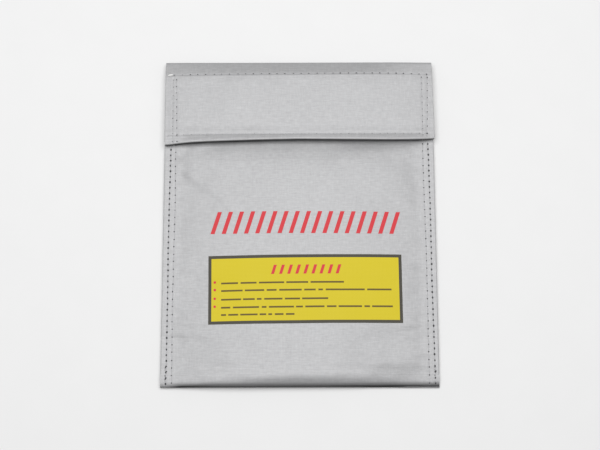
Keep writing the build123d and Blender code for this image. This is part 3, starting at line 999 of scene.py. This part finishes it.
def fold_low(x, t):
    """y and z in the bottom fold, t 0 at the front, 1 at the outermost line."""
    join_z, slope = np.interp(x, BACK_X, JOIN_Z), np.interp(x, BACK_X, JOIN_SLOPE)
    nose_z = np.interp(x, BACK_X, NOSE_Z)
    run = Y_JOIN - Y_EDGE
    full = 1.35 + 0.55 * gauss(x + 54, 30) - 0.50 * smooth(30, 76, x)
    # cubic Hermite weights: start, start slope, end, end slope
    from_start, start_slope = 2 * t**3 - 3 * t**2 + 1, t**3 - 2 * t**2 + t
    to_end, end_slope = -2 * t**3 + 3 * t**2, t**3 - t**2
    y = from_start * Y_JOIN - start_slope * run * 1.55 + to_end * Y_EDGE
    z = (from_start * join_z - start_slope * run * 1.55 * slope + to_end * nose_z
         - end_slope * (1.2 + full * (join_z - nose_z)))
    z = z + 9.48 * t**3 * (1 - t) * (0.72 * gauss(x + 50, 32) - 0.60 * smooth(28, 60, x))
    return y, z


def back_grid():
    """Rows from the top crease down the back and round the bottom fold to the front."""
    rows = []
    for t in np.linspace(0, 1, 15):
        y, z = fold_low(BACK_X, t)
        rows.append(points(BACK_X, y, z + seam_dimple(BACK_X, y) * smooth(1.0, 0.7, t)))
    for a in np.linspace(0, 1, 9)[1:-1] * math.pi / 2:
        rows.append(points(BACK_X, Y_EDGE + 1.95 * (1 - math.cos(a)),
                           NOSE_Z * (1 - math.sin(a))))
    for y in spread([(Y_BOT + 1.6, 0.95), Y_RISE]):
        rows.append(points(BACK_X, y, back_low(BACK_X, y) * smooth(Y_NOSE, Y_NOSE + 2, y)))
    for f in (0.12, 0.25, 0.38, 0.5, 0.62, 0.73, 0.82, 0.89, 0.94, 0.975, 0.993, 1.0):
        near = np.clip((f - 0.86) / 0.14, 0, 1)
        tip = 0.6 * (1 - math.sqrt(max(0.0, 1 - near ** 2)))
        rows.append(points(BACK_X, Y_RISE + (crease_y(BACK_X) - Y_RISE) * f,
                           (crease_z(BACK_X) - 0.6) * f ** 1.7 + tip))
    grid = np.stack(rows[::-1], 1)
    grid[..., 0] -= 0.35 * smooth(62, 90, grid[..., 0]) * smooth(80, 110, grid[..., 1])
    return grid


def build_back_cloth():
    grid = back_grid()
    # painted shade along the outermost line of the bottom fold, where the cloth turns under
    # towards the floor
    tilt = math.radians(13)
    rise = grid[..., 1] * math.cos(tilt) + grid[..., 2] * math.sin(tilt)
    rise = rise - rise.min(1, keepdims=True)
    painted_shade = np.maximum(smooth(2.2, 1.15, rise), 0.62 * smooth(4.3, 1.6, rise))
    painted_shade = painted_shade * smooth(-106.0, -107.4, grid[..., 1])
    painted_shade = painted_shade * (0.45 + 0.55 * smooth(-87, -76, grid[..., 0]))
    ob = sheet("pouch_back_cloth", grid, CLOTH_MAT, CLOTH,
               path_uv(grid, len(BACK_X) // 2), dark=painted_shade)
    fix(ob, "pouch", "back_panel")


LINING_X = mirrored(spread([(0.0, 3.0), 80.3]))
FLAP_LINING = 0.33


def build_back_lining():
    """From the bottom fold up to the crease."""
    rows = []
    for y in spread([(Y_NOSE + 1.0, 3.0), 102.0]):
        z = back_low(LINING_X, y) + CLOTH + 0.45 + 0.03 * mid_waves(LINING_X, y)
        rows.append(points(LINING_X, y, z))
    for f in (0.15, 0.3, 0.45, 0.6, 0.72, 0.83, 0.92, 1.0):
        rows.append(points(LINING_X, 102.0 + (crease_y(LINING_X) - 0.95 - 102.0) * f,
                           1.10 + (crease_z(LINING_X) - 1.10) * f ** 2.0))
    ob = sheet("back_lining_cloth", np.stack(rows, 1), LINING_MAT, LINING)
    fix(ob, "pouch", "back_lining")


def build_flap_lining():
    """From the crease down to the turned edge of the flap."""
    crease = crease_y(LINING_X)
    rows = [points(LINING_X, crease - 0.80, crease_z(LINING_X) + 0.22)]
    steps = list(np.linspace(0, 0.36, 17)) + [0.4, 0.46, 0.55, 0.65, 0.75, 0.88, 1.0]
    lines = [crease - 1.15 + (99.0 - crease + 1.15) * f for f in steps]
    for y in lines + list(spread([(97.0, 3.0), 61.5])):
        rows.append(points(LINING_X, y, lining_outer(LINING_X, y)))
    # reversed, so that the outer side is up, against the cloth
    ob = sheet("flap_lining_cloth", np.stack(rows[::-1], 1), LINING_MAT,
               FLAP_LINING)
    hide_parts("flap_lining", "top_fold_lining")
    bend_flap(ob)


build_back_cloth()
build_back_lining()
build_flap_lining()


# ------------------------------------------------------------------ stitching
def threads(name, segments, width, height, mat=THREAD_MAT, rise=0.16, sink=0.20):
    """One plump thread loop per segment (start, end, up); width and height are
    half sizes."""
    rings, sides = 7, 6
    verts, faces = [], []
    for start, end, up in segments:
        start, end, up = (np.array(v, float) for v in (start, end, up))
        d = end - start
        length = np.linalg.norm(d)
        d /= length
        up = up - d * (up @ d)
        up /= np.linalg.norm(up)
        across = np.cross(d, up)
        base = len(verts)
        for k in range(rings):
            t = k / (rings - 1)
            bulge = math.sin(math.pi * t)
            center = start + d * length * t + up * (-sink + (rise + sink) * bulge ** 0.55)
            q = 0.55 + 0.45 * bulge ** 0.5
            for j in range(sides):
                a = 2 * math.pi * j / sides
                verts.append(center + across * width * q * math.cos(a)
                             + up * height * q * math.sin(a))
        for k in range(rings - 1):
            for j in range(sides):
                a, b = base + k * sides + j, base + k * sides + (j + 1) % sides
                faces.append((a, a + sides, b + sides, b))
        verts += [start - up * sink, end - up * sink]
        first, last = len(verts) - 2, len(verts) - 1
        end_base = base + (rings - 1) * sides
        for j in range(sides):
            following = (j + 1) % sides
            faces.append((first, base + j, base + following))
            faces.append((last, end_base + following, end_base + j))
    return loose_mesh(name, verts, faces, mat)


def needle_holes(name, holes):
    """Small shallow cups in the near-black needle hole colour, which is painted shade standing
    in for the shade inside the holes: (place, up, along, size along, size across).
    """
    radius, sides = 0.50, 10
    verts, faces = [], []
    for place, up, along, size_along, size_across in holes:
        place, up, along = (np.array(v, float) for v in (place, up, along))
        up = up / np.linalg.norm(up)
        along = along - up * (along @ up)
        along /= np.linalg.norm(along)
        across = np.cross(up, along)
        base = len(verts)
        for j in range(sides):
            a = 2 * math.pi * j / sides
            verts.append(place + up * 0.13 + along * radius * size_along * math.cos(a)
                         + across * radius * size_across * math.sin(a))
        verts += [place + up * 0.06, place - up * 0.22]
        for j in range(sides):
            a, b = base + j, base + (j + 1) % sides
            faces += [(a, b, base + sides), (b, a, base + sides + 1)]
    return loose_mesh(name, verts, faces, HOLE_SHADE_MAT)


def stitches(x0, y0, x1, y1, height, lift=0.0, up=UP, askew=False):
    """Thread segments between plan points laid on the surface height(x, y)."""
    starts, ends = (
        points(x + skew(x, y) if askew else x, y, height(x, y) + lift)
        for x, y in ((x0, y0), (x1, y1))
    )
    return list(zip(starts, ends, np.broadcast_to(up, starts.shape)))


def flap_normal(x, y, reach=0.6):
    """Upward normal of the flap, from heights a little way to each side."""
    slope_x = (flap_full(x + reach, y) - flap_full(x - reach, y)) / (2 * reach)
    slope_y = (flap_full(x, y + reach) - flap_full(x, y - reach)) / (2 * reach)
    v = np.array([-slope_x, -slope_y, 1.0])
    return v / np.linalg.norm(v)


def shell_height(x, y):
    """Height of the shell's outer face along the side rows, incl. the bottom fold."""
    low = []
    for xi, yi in zip(x, y):
        fold_y, fold_z = fold_low(xi, np.linspace(0, 1, 41))
        low.append(np.interp(-yi, -fold_y, fold_z))
    return np.where(y < Y_JOIN, np.array(low) + seam_dimple(x, y), front(x, y))


# (y, shift in x) of the closer back stitching at the low end of the outer rows
BACKSTITCHES = ((-107.0, -0.35), (-104.6, -0.35), (-101.9, 0.35), (-99.4, -0.35))


def build_side_seam(side, side_name, row):
    outer = row == 0
    x, y = SEAM[side, row]
    z = shell_height(x, y)
    gap = 0.50 if outer else 0.45
    ends = (x[:-1], y[:-1] + gap, x[1:], y[1:] - gap)
    front_segs = stitches(*ends, shell_height, lift=0.06)
    back_segs = stitches(*ends, lambda x, y: 0.27, up=DOWN)
    along, across = (1.45, 1.05) if outer else (0.95, 0.75)
    holes, back_holes = [], []
    for xi, yi, zi in zip(x, y, z):
        holes.append(((xi, yi, zi + 0.02), UP, (0, 1, 0), along * hole_rng.uniform(0.8, 1.2),
                      across * hole_rng.uniform(0.85, 1.15)))
        back_holes.append(((xi, yi, 0.22), DOWN, (0, 1, 0), 0.85, 0.75))
    if outer:
        for y0, shift in BACKSTITCHES:
            x0 = x[0] + shift
            z0 = shell_height(x[:1], np.array([y0]))[0]
            front_segs.append(((x0 - 0.45, y0, z0 + 0.14), (x0 + 0.5, y0 + 1.7, z0 + 0.14), UP))
            holes.append(((x0 + 0.1, y0 + 1.8, z0 + 0.05), UP, (0, 1, 0), 1.1, 0.9))
    row_name = "outer" if outer else "inner"
    name = f"{side_name}_{row_name}_row"
    piece = f"{side_name}_seam_{row_name}_thread"
    fix(threads(f"{name}_threads", front_segs, 0.22, 0.15), "pouch", piece)
    fix(threads(f"{name}_threads_back", back_segs, 0.22, 0.14, rise=0.10, sink=0.10),
        "pouch", piece)
    fix(needle_holes(f"{name}_holes", holes), "pouch", piece)
    fix(needle_holes(f"{name}_holes_back", back_holes), "pouch", piece)


def build_flap_side_rows(side, side_name):
    gap = 0.45
    segs, holes, inside = [], [], []
    for row in (0, 1):
        x, y = FLAP_SEAM[side, row]
        ends = (x[:-1], y[:-1] + gap, x[1:], y[1:] - gap)
        segs += stitches(*ends, flap_full, lift=0.05, askew=True)
        inside += stitches(*ends, under_margin, up=DOWN, askew=True)
        size = 0.90 if (side > 0) == (row == 0) else 0.68
        for xi, yi, zi in zip(x, y, flap_full(x, y)):
            holes.append(((xi + skew(xi, yi), yi, zi + 0.02), flap_normal(xi, yi), (0, 1, 0),
                          size * hole_rng.uniform(0.45, 1.25),
                          size * 0.85 * hole_rng.uniform(0.6, 1.15)))
    name, piece = f"flap_{side_name}_rows", f"flap_{side_name}_thread"
    fix(threads(f"{name}_threads", segs, 0.21, 0.14), "flap", piece)
    fix(needle_holes(f"{name}_holes", holes), "flap", piece)
    fix(threads(f"{name}_threads_inside", inside, 0.21, 0.14), "flap", piece)


def build_flap_cross_row(name, piece, marks, line, hole_size, under, is_low):
    x0, x1 = marks[:-1] + 0.5, marks[1:] - 0.5
    y0, y1 = line(x0), line(x1)
    ups = [flap_normal(x, y, 2.0) for x, y in zip((x0 + x1) / 2, (y0 + y1) / 2)]
    segs = stitches(x0, y0, x1, y1, flap_full, lift=0.05, up=ups, askew=True)
    # above, the side margins hide the ends of the row on the inside
    seen = ((np.abs(x0) < 78.5) & (np.abs(x1) < 78.5)) | is_low
    inside = stitches(x0[seen], y0[seen], x1[seen], y1[seen], under, up=DOWN, askew=True)
    holes = []
    row_y = line(marks)
    for i, (x, y, z) in enumerate(zip(marks, row_y, flap_full(marks, row_y))):
        grow = 0.88 + 0.30 * float(smooth(15, 35, x))
        if is_low and i == len(marks) - 1:
            grow = 2.2
        holes.append(((x + skew(x, y), y, z + 0.04), flap_normal(x, y, 2.0), (1, 0, 0),
                      hole_size * grow * 1.1 * hole_rng.uniform(0.55, 1.25),
                      hole_size * grow * hole_rng.uniform(0.7, 1.1)))
    fix(threads(f"{name}_threads", segs, 0.20, 0.13, rise=0.14), "flap", piece)
    fix(needle_holes(f"{name}_holes", holes), "flap", piece)
    fix(threads(f"{name}_threads_inside", inside, 0.20, 0.13), "flap", piece)


def build_thread_end():
    """A loose pale thread end where the upper row starts."""
    z0, z1 = flap_full(np.array([-87.4, -84.6]), np.array([100.2, 100.25]))
    segment = ((-88.4, 100.1, z0 + 0.24), (-85.2, 100.35, z1 + 0.26), UP)
    ob = threads("thread_end_top", [segment], 0.36, 0.26, WHITE_THREAD, rise=0.12, sink=0.05)
    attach(ob, "flap")


def build_mouth_tacks():
    """Bar tacks at the mouth corners."""
    y = 90.4 + 0.62 * np.arange(9)
    segs = []
    for side in (-1, 1):
        segs += stitches(side * 83.2, y, side * 85.4, y + 0.3, front, lift=0.12)
    fix(threads("mouth_corner_tack_threads", segs, 0.2, 0.15), "pouch", "mouth_corner_tacks")


for side, side_name in SIDES:
    for row in (0, 1):
        build_side_seam(side, side_name, row)
for side, side_name in SIDES:
    build_flap_side_rows(side, side_name)
build_flap_cross_row("flap_top_row", "flap_top_thread", TOP_X, stitch_top, hole_size=0.80,
                     under=lambda x, y: lining_outer(x, y) - FLAP_LINING, is_low=False)
build_flap_cross_row("flap_lower_row", "flap_lower_thread", LOW_X, stitch_low, hole_size=0.38,
                     under=under_edge, is_low=True)
build_thread_end()
build_mouth_tacks()

# ------------------------------------------------------------------ tapes
LOOP_X, LOOP_LOW, LOOP_HIGH = box_loop[1].x / MM, box_loop[0].y / MM, box_loop[1].y / MM
HOOK_X, HOOK_LOW, HOOK_HIGH = box_hook[1].x / MM, box_hook[0].y / MM, box_hook[1].y / MM
HOOK_RISE = 2.80                            # top of the hook tape over the mouth
PILE_RADIUS = 0.075
LOOP_STITCH = 3.4                           # pitch of the stitching round the loop tape


def tape_plan(x, low, high):
    return np.meshgrid(mirrored(spread([(0.0, 2.0), x])), spread([(low, 1.6), high]),
                       indexing="ij")


def tube(verts, faces, path, sides):
    """Appends one bent pile tube through the points of the path."""
    path = np.asarray(path, float)
    d = unit(np.gradient(path, axis=0))
    s = unit(np.cross(d, np.array([0.31, 0.95, 0.08])))
    t = np.cross(d, s)
    base = len(verts)
    for i in range(len(path)):
        for j in range(sides):
            a = 2 * math.pi * j / sides
            verts.append(path[i] + s[i] * PILE_RADIUS * math.cos(a)
                         + t[i] * PILE_RADIUS * math.sin(a))
    for i in range(len(path) - 1):
        for j in range(sides):
            a, b = base + i * sides + j, base + i * sides + (j + 1) % sides
            faces.append((a, b, b + sides, a + sides))
    last = base + (len(path) - 1) * sides
    faces.append(tuple(range(base, base + sides))[::-1])
    faces.append(tuple(range(last, last + sides)))


def build_loop_tape():
    X, Y = tape_plan(LOOP_X, LOOP_LOW, LOOP_HIGH)
    to_edge = np.minimum(np.abs(Y - LOOP_LOW), np.abs(LOOP_HIGH - Y))
    Z = front(X, Y) + 0.56 - 0.10 * np.exp(-to_edge / 0.5)
    front_sheet("loop_tape", np.stack([X, Y, Z], -1), TAPE_MAT, 0.5,
                ("loop_tape",))


def build_loop_pile():
    """Small tangled loops standing on the ground of the tape."""
    r = np.random.default_rng(77)
    for side, side_name in SIDES:
        verts, faces = [], []
        for grid_x in np.arange(1.0, LOOP_X - 1.2, 1.45):
            for grid_y in np.arange(LOOP_LOW + 2.6, LOOP_HIGH - 2.2, 1.35):
                x = side * (grid_x + r.uniform(-0.5, 0.5))
                y = grid_y + r.uniform(-0.5, 0.5)
                angle = r.uniform(0, 2 * math.pi)
                half_width, height = r.uniform(0.5, 0.95), r.uniform(0.38, 0.66)
                z = mouth_arch(x) + 0.50
                ca, sa = math.cos(angle), math.sin(angle)
                path = []
                for t in np.linspace(0, 1, 6):
                    bulge = math.sin(math.pi * t)
                    u = (t - 0.5) * 2 * half_width * (1 + 0.25 * bulge)
                    lean = 0.30 * bulge * math.sin(angle * 3)
                    path.append((x + ca * u - sa * lean, y + sa * u + ca * lean,
                                 z + height * bulge ** 0.7))
                tube(verts, faces, path, sides=3)
        ob = loose_mesh(f"loop_pile_{side_name}", verts, faces, LOOP_MAT)
        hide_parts("loop_tape")
        to_front(ob)


def build_loop_threads():
    """Stitching along both long edges and the outer ends of the loop tape."""
    def tape_face(x, y):
        return mouth_arch(x) + 0.60

    start_x = np.arange(-LOOP_X + 2.0, LOOP_X - 2.0, LOOP_STITCH)
    start_y = np.arange(LOOP_LOW + 1.8, LOOP_HIGH - 4.5, LOOP_STITCH)
    for side, side_name in SIDES:
        x = start_x[(start_x + LOOP_STITCH / 2 < 0) == (side < 0)]
        segs = []
        for y in (LOOP_LOW + 1.5, LOOP_HIGH - 1.5):
            segs += stitches(x + 0.4, y, x + 3.0, y, tape_face)
        x_end = side * (LOOP_X - 1.5)
        segs += stitches(x_end, start_y + 0.3, x_end, start_y + 3.0, tape_face)
        ob = threads(f"loop_tape_threads_{side_name}", segs, 0.2, 0.15)
        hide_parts("loop_tape_thread")
        to_front(ob)


def build_hook_tape():
    """Ground and hooks under the flap."""
    X, Y = tape_plan(HOOK_X, HOOK_LOW, HOOK_HIGH)
    grid = np.stack([X, Y, mouth_arch(X) + HOOK_RISE], -1)
    fix(sheet("hook_tape_ground", grid, TAPE_MAT, 0.45), "flap", "hook_tape")
    verts, faces = [], []
    r = np.random.default_rng(78)
    for row, grid_y in enumerate(np.arange(HOOK_LOW + 2.2, HOOK_HIGH - 1.8, 1.5), 1):
        facing = 1 if row % 2 else -1
        for grid_x in np.arange(-HOOK_X + 2.0 + 0.9 * (row % 2), HOOK_X - 1.6, 1.8):
            x, y = grid_x + r.uniform(-0.08, 0.08), grid_y + r.uniform(-0.08, 0.08)
            z = mouth_arch(x) + HOOK_RISE - 0.42
            path = [(x, y, z), (x, y + 0.02 * facing, z - 0.30)]
            for a in np.radians((20, 75, 130, 185)):
                path.append((x + r.uniform(-0.03, 0.03), y + facing * 0.20 * (1 - math.cos(a)),
                             z - 0.40 - 0.22 * math.sin(a)))
            tube(verts, faces, path, sides=4)
    fix(loose_mesh("hook_pile", verts, faces, HOOK_MAT), "flap", "hook_tape")


build_loop_tape()
build_loop_pile()
build_loop_threads()
build_hook_tape()

# ------------------------------------------------------------------ print
INK = 0.07                                  # thickness of a printed patch
TITLE_X0, TITLE_X1 = box_title[0].x / MM, box_title[1].x / MM
TITLE_Y0, TITLE_Y1 = box_title[0].y / MM, box_title[1].y / MM
TITLE_BAR, TITLE_LEAN, TITLE_COUNT = 2.7, 4.7, 17
PANEL_X0, PANEL_X1, PANEL_Y0, PANEL_Y1 = -59.5, 67.0, -69.5, -24.1
PANEL_CX, PANEL_CY = (PANEL_X0 + PANEL_X1) / 2, (PANEL_Y0 + PANEL_Y1) / 2
PANEL_TURN = math.radians(0.42)             # the panel is printed a little askew
FRAME_W = 2.0
HEAD_X0, HEAD_X1, HEAD_Y0, HEAD_Y1 = -18.5, 27.7, -36.9, -30.9
HEAD_BAR, HEAD_COUNT = 1.9, 9
# y of each line's middle: (start x, length) of its words
LINES = {
    -42.5: [(-51.1, 11.0), (-38.4, 10.4), (-26.4, 16.4), (-8.6, 14.2), (7.2, 21.7)],
    -47.5: [(-51.1, 14.0), (-35.6, 12.6), (-21.4, 6.4), (-13.2, 14.6), (3.0, 7.4),
            (12.2, 3.0), (17.0, 25.4), (44.0, 15.9)],
    -53.3: [(-51.1, 13.0), (-36.8, 7.6), (-27.8, 3.0), (-23.0, 11.8), (-9.6, 9.8),
            (1.6, 16.9)],
    -58.6: [(-51.1, 6.0), (-43.4, 17.0), (-24.6, 3.0), (-20.0, 16.2), (-2.4, 4.4),
            (3.6, 12.4), (17.6, 6.2), (25.2, 15.2), (42.0, 3.6), (47.0, 13.5)],
    -63.4: [(-51.1, 3.2), (-46.4, 6.4), (-38.6, 11.2), (-26.0, 4.2), (-20.4, 2.4),
            (-16.2, 5.6), (-9.0, 5.5)],
}
DOT_X, DOT_RADIUS = -55.3, 0.85
DOT_YS = (-41.7, -46.7, -52.5, -57.8)


def turned(x, y):
    """A plan point turned with the panel."""
    ca, sa = math.cos(PANEL_TURN), math.sin(PANEL_TURN)
    dx, dy = x - PANEL_CX, y - PANEL_CY
    return PANEL_CX + dx * ca - dy * sa, PANEL_CY + dx * sa + dy * ca


def patch(x0, x1, y0, y1, shear=0.0, step=2.0, on_panel=True):
    """Grid of plan points for one printed patch. shear moves the top to +x."""
    nu = max(2, int(math.ceil((x1 - x0) / step)) + 1)
    nv = max(2, int(math.ceil((y1 - y0) / step)) + 1)
    X, Y = np.meshgrid(np.linspace(x0, x1, nu), np.linspace(y0, y1, nv), indexing="ij")
    X = X + shear * (Y - y0) / (y1 - y0)
    return turned(X, Y) if on_panel else (X, Y)


def halves(x0, x1, y0, y1):
    return [patch(x0, 0.0, y0, y1), patch(0.0, x1, y0, y1)]


def printed(name, patches, mat, lift=0.05):
    """Thin slabs on the front, as a left and a right object."""
    for side, side_name in SIDES:
        verts, faces = [], []
        base = 0
        for X, Y in patches:
            if (X.mean() < 0) != (side < 0):
                continue
            top = points(X, Y, front(X, Y) + lift + INK).reshape(-1, 3)
            verts += [top, top - (0, 0, INK)]
            faces.append(slab_faces(*X.shape) + base)
            base += 2 * X.size
        verts = np.concatenate(verts)
        ob = mesh_from(f"{name}_{side_name}", verts, np.concatenate(faces), mat, verts[:, :2])
        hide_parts(f"print_{name}")
        to_front(ob)


def slanted_bars(x0, x1, y0, y1, bar, lean, count, pitch, on_panel):
    return [patch(x0 + i * pitch, x0 + i * pitch + bar, y0, y1, lean, 1.4, on_panel)
            for i in range(count)]


def build_panel_dots():
    """Round dots at the left of the upper four lines."""
    sides = 16
    angles = 2 * math.pi * np.arange(sides) / sides
    verts, faces = [], []
    for y in DOT_YS:
        base = len(verts)
        cx, cy = turned(DOT_X, y)
        ring_x, ring_y = cx + DOT_RADIUS * np.cos(angles), cy + DOT_RADIUS * np.sin(angles)
        ring_z = front(ring_x, ring_y)
        center_z = float(front(cx, cy))
        for lift in (0.19, 0.11):
            verts.extend(points(ring_x, ring_y, ring_z + lift))
        verts += [np.array([cx, cy, center_z + lift]) for lift in (0.20, 0.11)]
        for j in range(sides):
            a, b = base + j, base + (j + 1) % sides
            faces.append((a, b, base + 2 * sides))
            faces.append((b + sides, a + sides, base + 2 * sides + 1))
            faces.append((a + sides, b + sides, b, a))
    ob = loose_mesh("panel_dots", verts, faces, RED, sharp=50, plan_uv=True)
    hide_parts("print_panel_dots")
    to_front(ob)


INNER_X0, INNER_X1 = PANEL_X0 + FRAME_W, PANEL_X1 - FRAME_W
INNER_Y0, INNER_Y1 = PANEL_Y0 + FRAME_W, PANEL_Y1 - FRAME_W
title_pitch = (TITLE_X1 - TITLE_X0 - TITLE_BAR - TITLE_LEAN) / (TITLE_COUNT - 1)
heading_pitch = (HEAD_X1 - HEAD_X0 - 2.2 - HEAD_BAR) / (HEAD_COUNT - 1)

printed("title_bars",
        slanted_bars(TITLE_X0, TITLE_X1, TITLE_Y0, TITLE_Y1, TITLE_BAR, TITLE_LEAN,
                     TITLE_COUNT, title_pitch, on_panel=False), RED)
printed("panel_frame",
        halves(PANEL_X0, PANEL_X1, PANEL_Y0, INNER_Y0)
        + halves(PANEL_X0, PANEL_X1, INNER_Y1, PANEL_Y1)
        + [patch(PANEL_X0, INNER_X0, INNER_Y0, INNER_Y1),
           patch(INNER_X1, PANEL_X1, INNER_Y0, INNER_Y1)], FRAME_INK)
printed("panel_field", halves(INNER_X0, INNER_X1, INNER_Y0, INNER_Y1), YELLOW,
        lift=0.04)
printed("panel_heading",
        slanted_bars(HEAD_X0, HEAD_X1, HEAD_Y0, HEAD_Y1, HEAD_BAR, HEAD_BAR,
                     HEAD_COUNT, heading_pitch, on_panel=True), RED, lift=0.12)
printed("panel_lines",
        [patch(x, x + length, y - 0.55, y + 0.55, step=1.6)
         for y, words in LINES.items() for x, length in words],
        LINE_INK, lift=0.12)
build_panel_dots()


# ------------------------------------------------------------------ stage, metres
def build_floor():
    half, z = 3.0, -0.0002
    me = bpy.data.meshes.new("floor")
    corners = [(-half, -half, z), (half, -half, z), (half, half, z), (-half, half, z)]
    me.from_pydata(corners, [], [(0, 1, 2, 3)])
    floor = bpy.data.objects.new("floor", me)
    bpy.context.scene.collection.objects.link(floor)
    s = Shader("floor_paper")
    place = s.new("ShaderNodeTexCoord").outputs["Object"]
    grain = s.noise(place, scale=40.0, detail=3.0)
    color = s.mix(grain, (0.72, 0.72, 0.72, 1), (0.74, 0.74, 0.74, 1))
    me.materials.append(s.finish(color, 0.9, specular=0.1))


def build_world():
    world = bpy.data.worlds.new("studio")
    bpy.context.scene.world = world
    world.use_nodes = True
    background = world.node_tree.nodes["Background"]
    background.inputs["Color"].default_value = (1.0, 1.0, 1.0, 1)
    background.inputs["Strength"].default_value = 0.34


def area_light(name, location, target, size, power):
    light = bpy.data.lights.new(name, "AREA")
    light.shape = "RECTANGLE"
    light.size, light.size_y = size
    light.energy = power
    ob = bpy.data.objects.new(name, light)
    bpy.context.scene.collection.objects.link(ob)
    ob.location = location
    aim = Vector(target) - Vector(location)
    ob.rotation_euler = aim.to_track_quat("-Z", "Y").to_euler()


def build_camera(tilt, roll, distance):
    """Looks down at the origin, tilted towards -Y."""
    cam = bpy.data.cameras.new("camera")
    camera = bpy.data.objects.new("camera", cam)
    bpy.context.scene.collection.objects.link(camera)
    cam.sensor_width = 36.0
    cam.lens = 85.26
    cam.clip_start, cam.clip_end = 0.05, 20
    cam.shift_x, cam.shift_y = 0.001, -0.0063333
    camera.location = (0, -distance * math.sin(tilt), distance * math.cos(tilt))
    turn = Matrix.Rotation(tilt, 3, "X") @ Matrix.Rotation(roll, 3, "Z")
    camera.rotation_euler = turn.to_euler()
    bpy.context.scene.camera = camera


build_floor()
build_world()
area_light("softbox_top", location=(-0.02, 0.20, 1.15), target=(0, 0.0, 0),
           size=(1.6, 1.15), power=17.5)
build_camera(tilt=math.radians(13.2), roll=math.radians(-0.16), distance=0.942)
bpy.context.scene.view_settings.view_transform = "Standard"
bpy.context.scene.view_settings.look = "None"
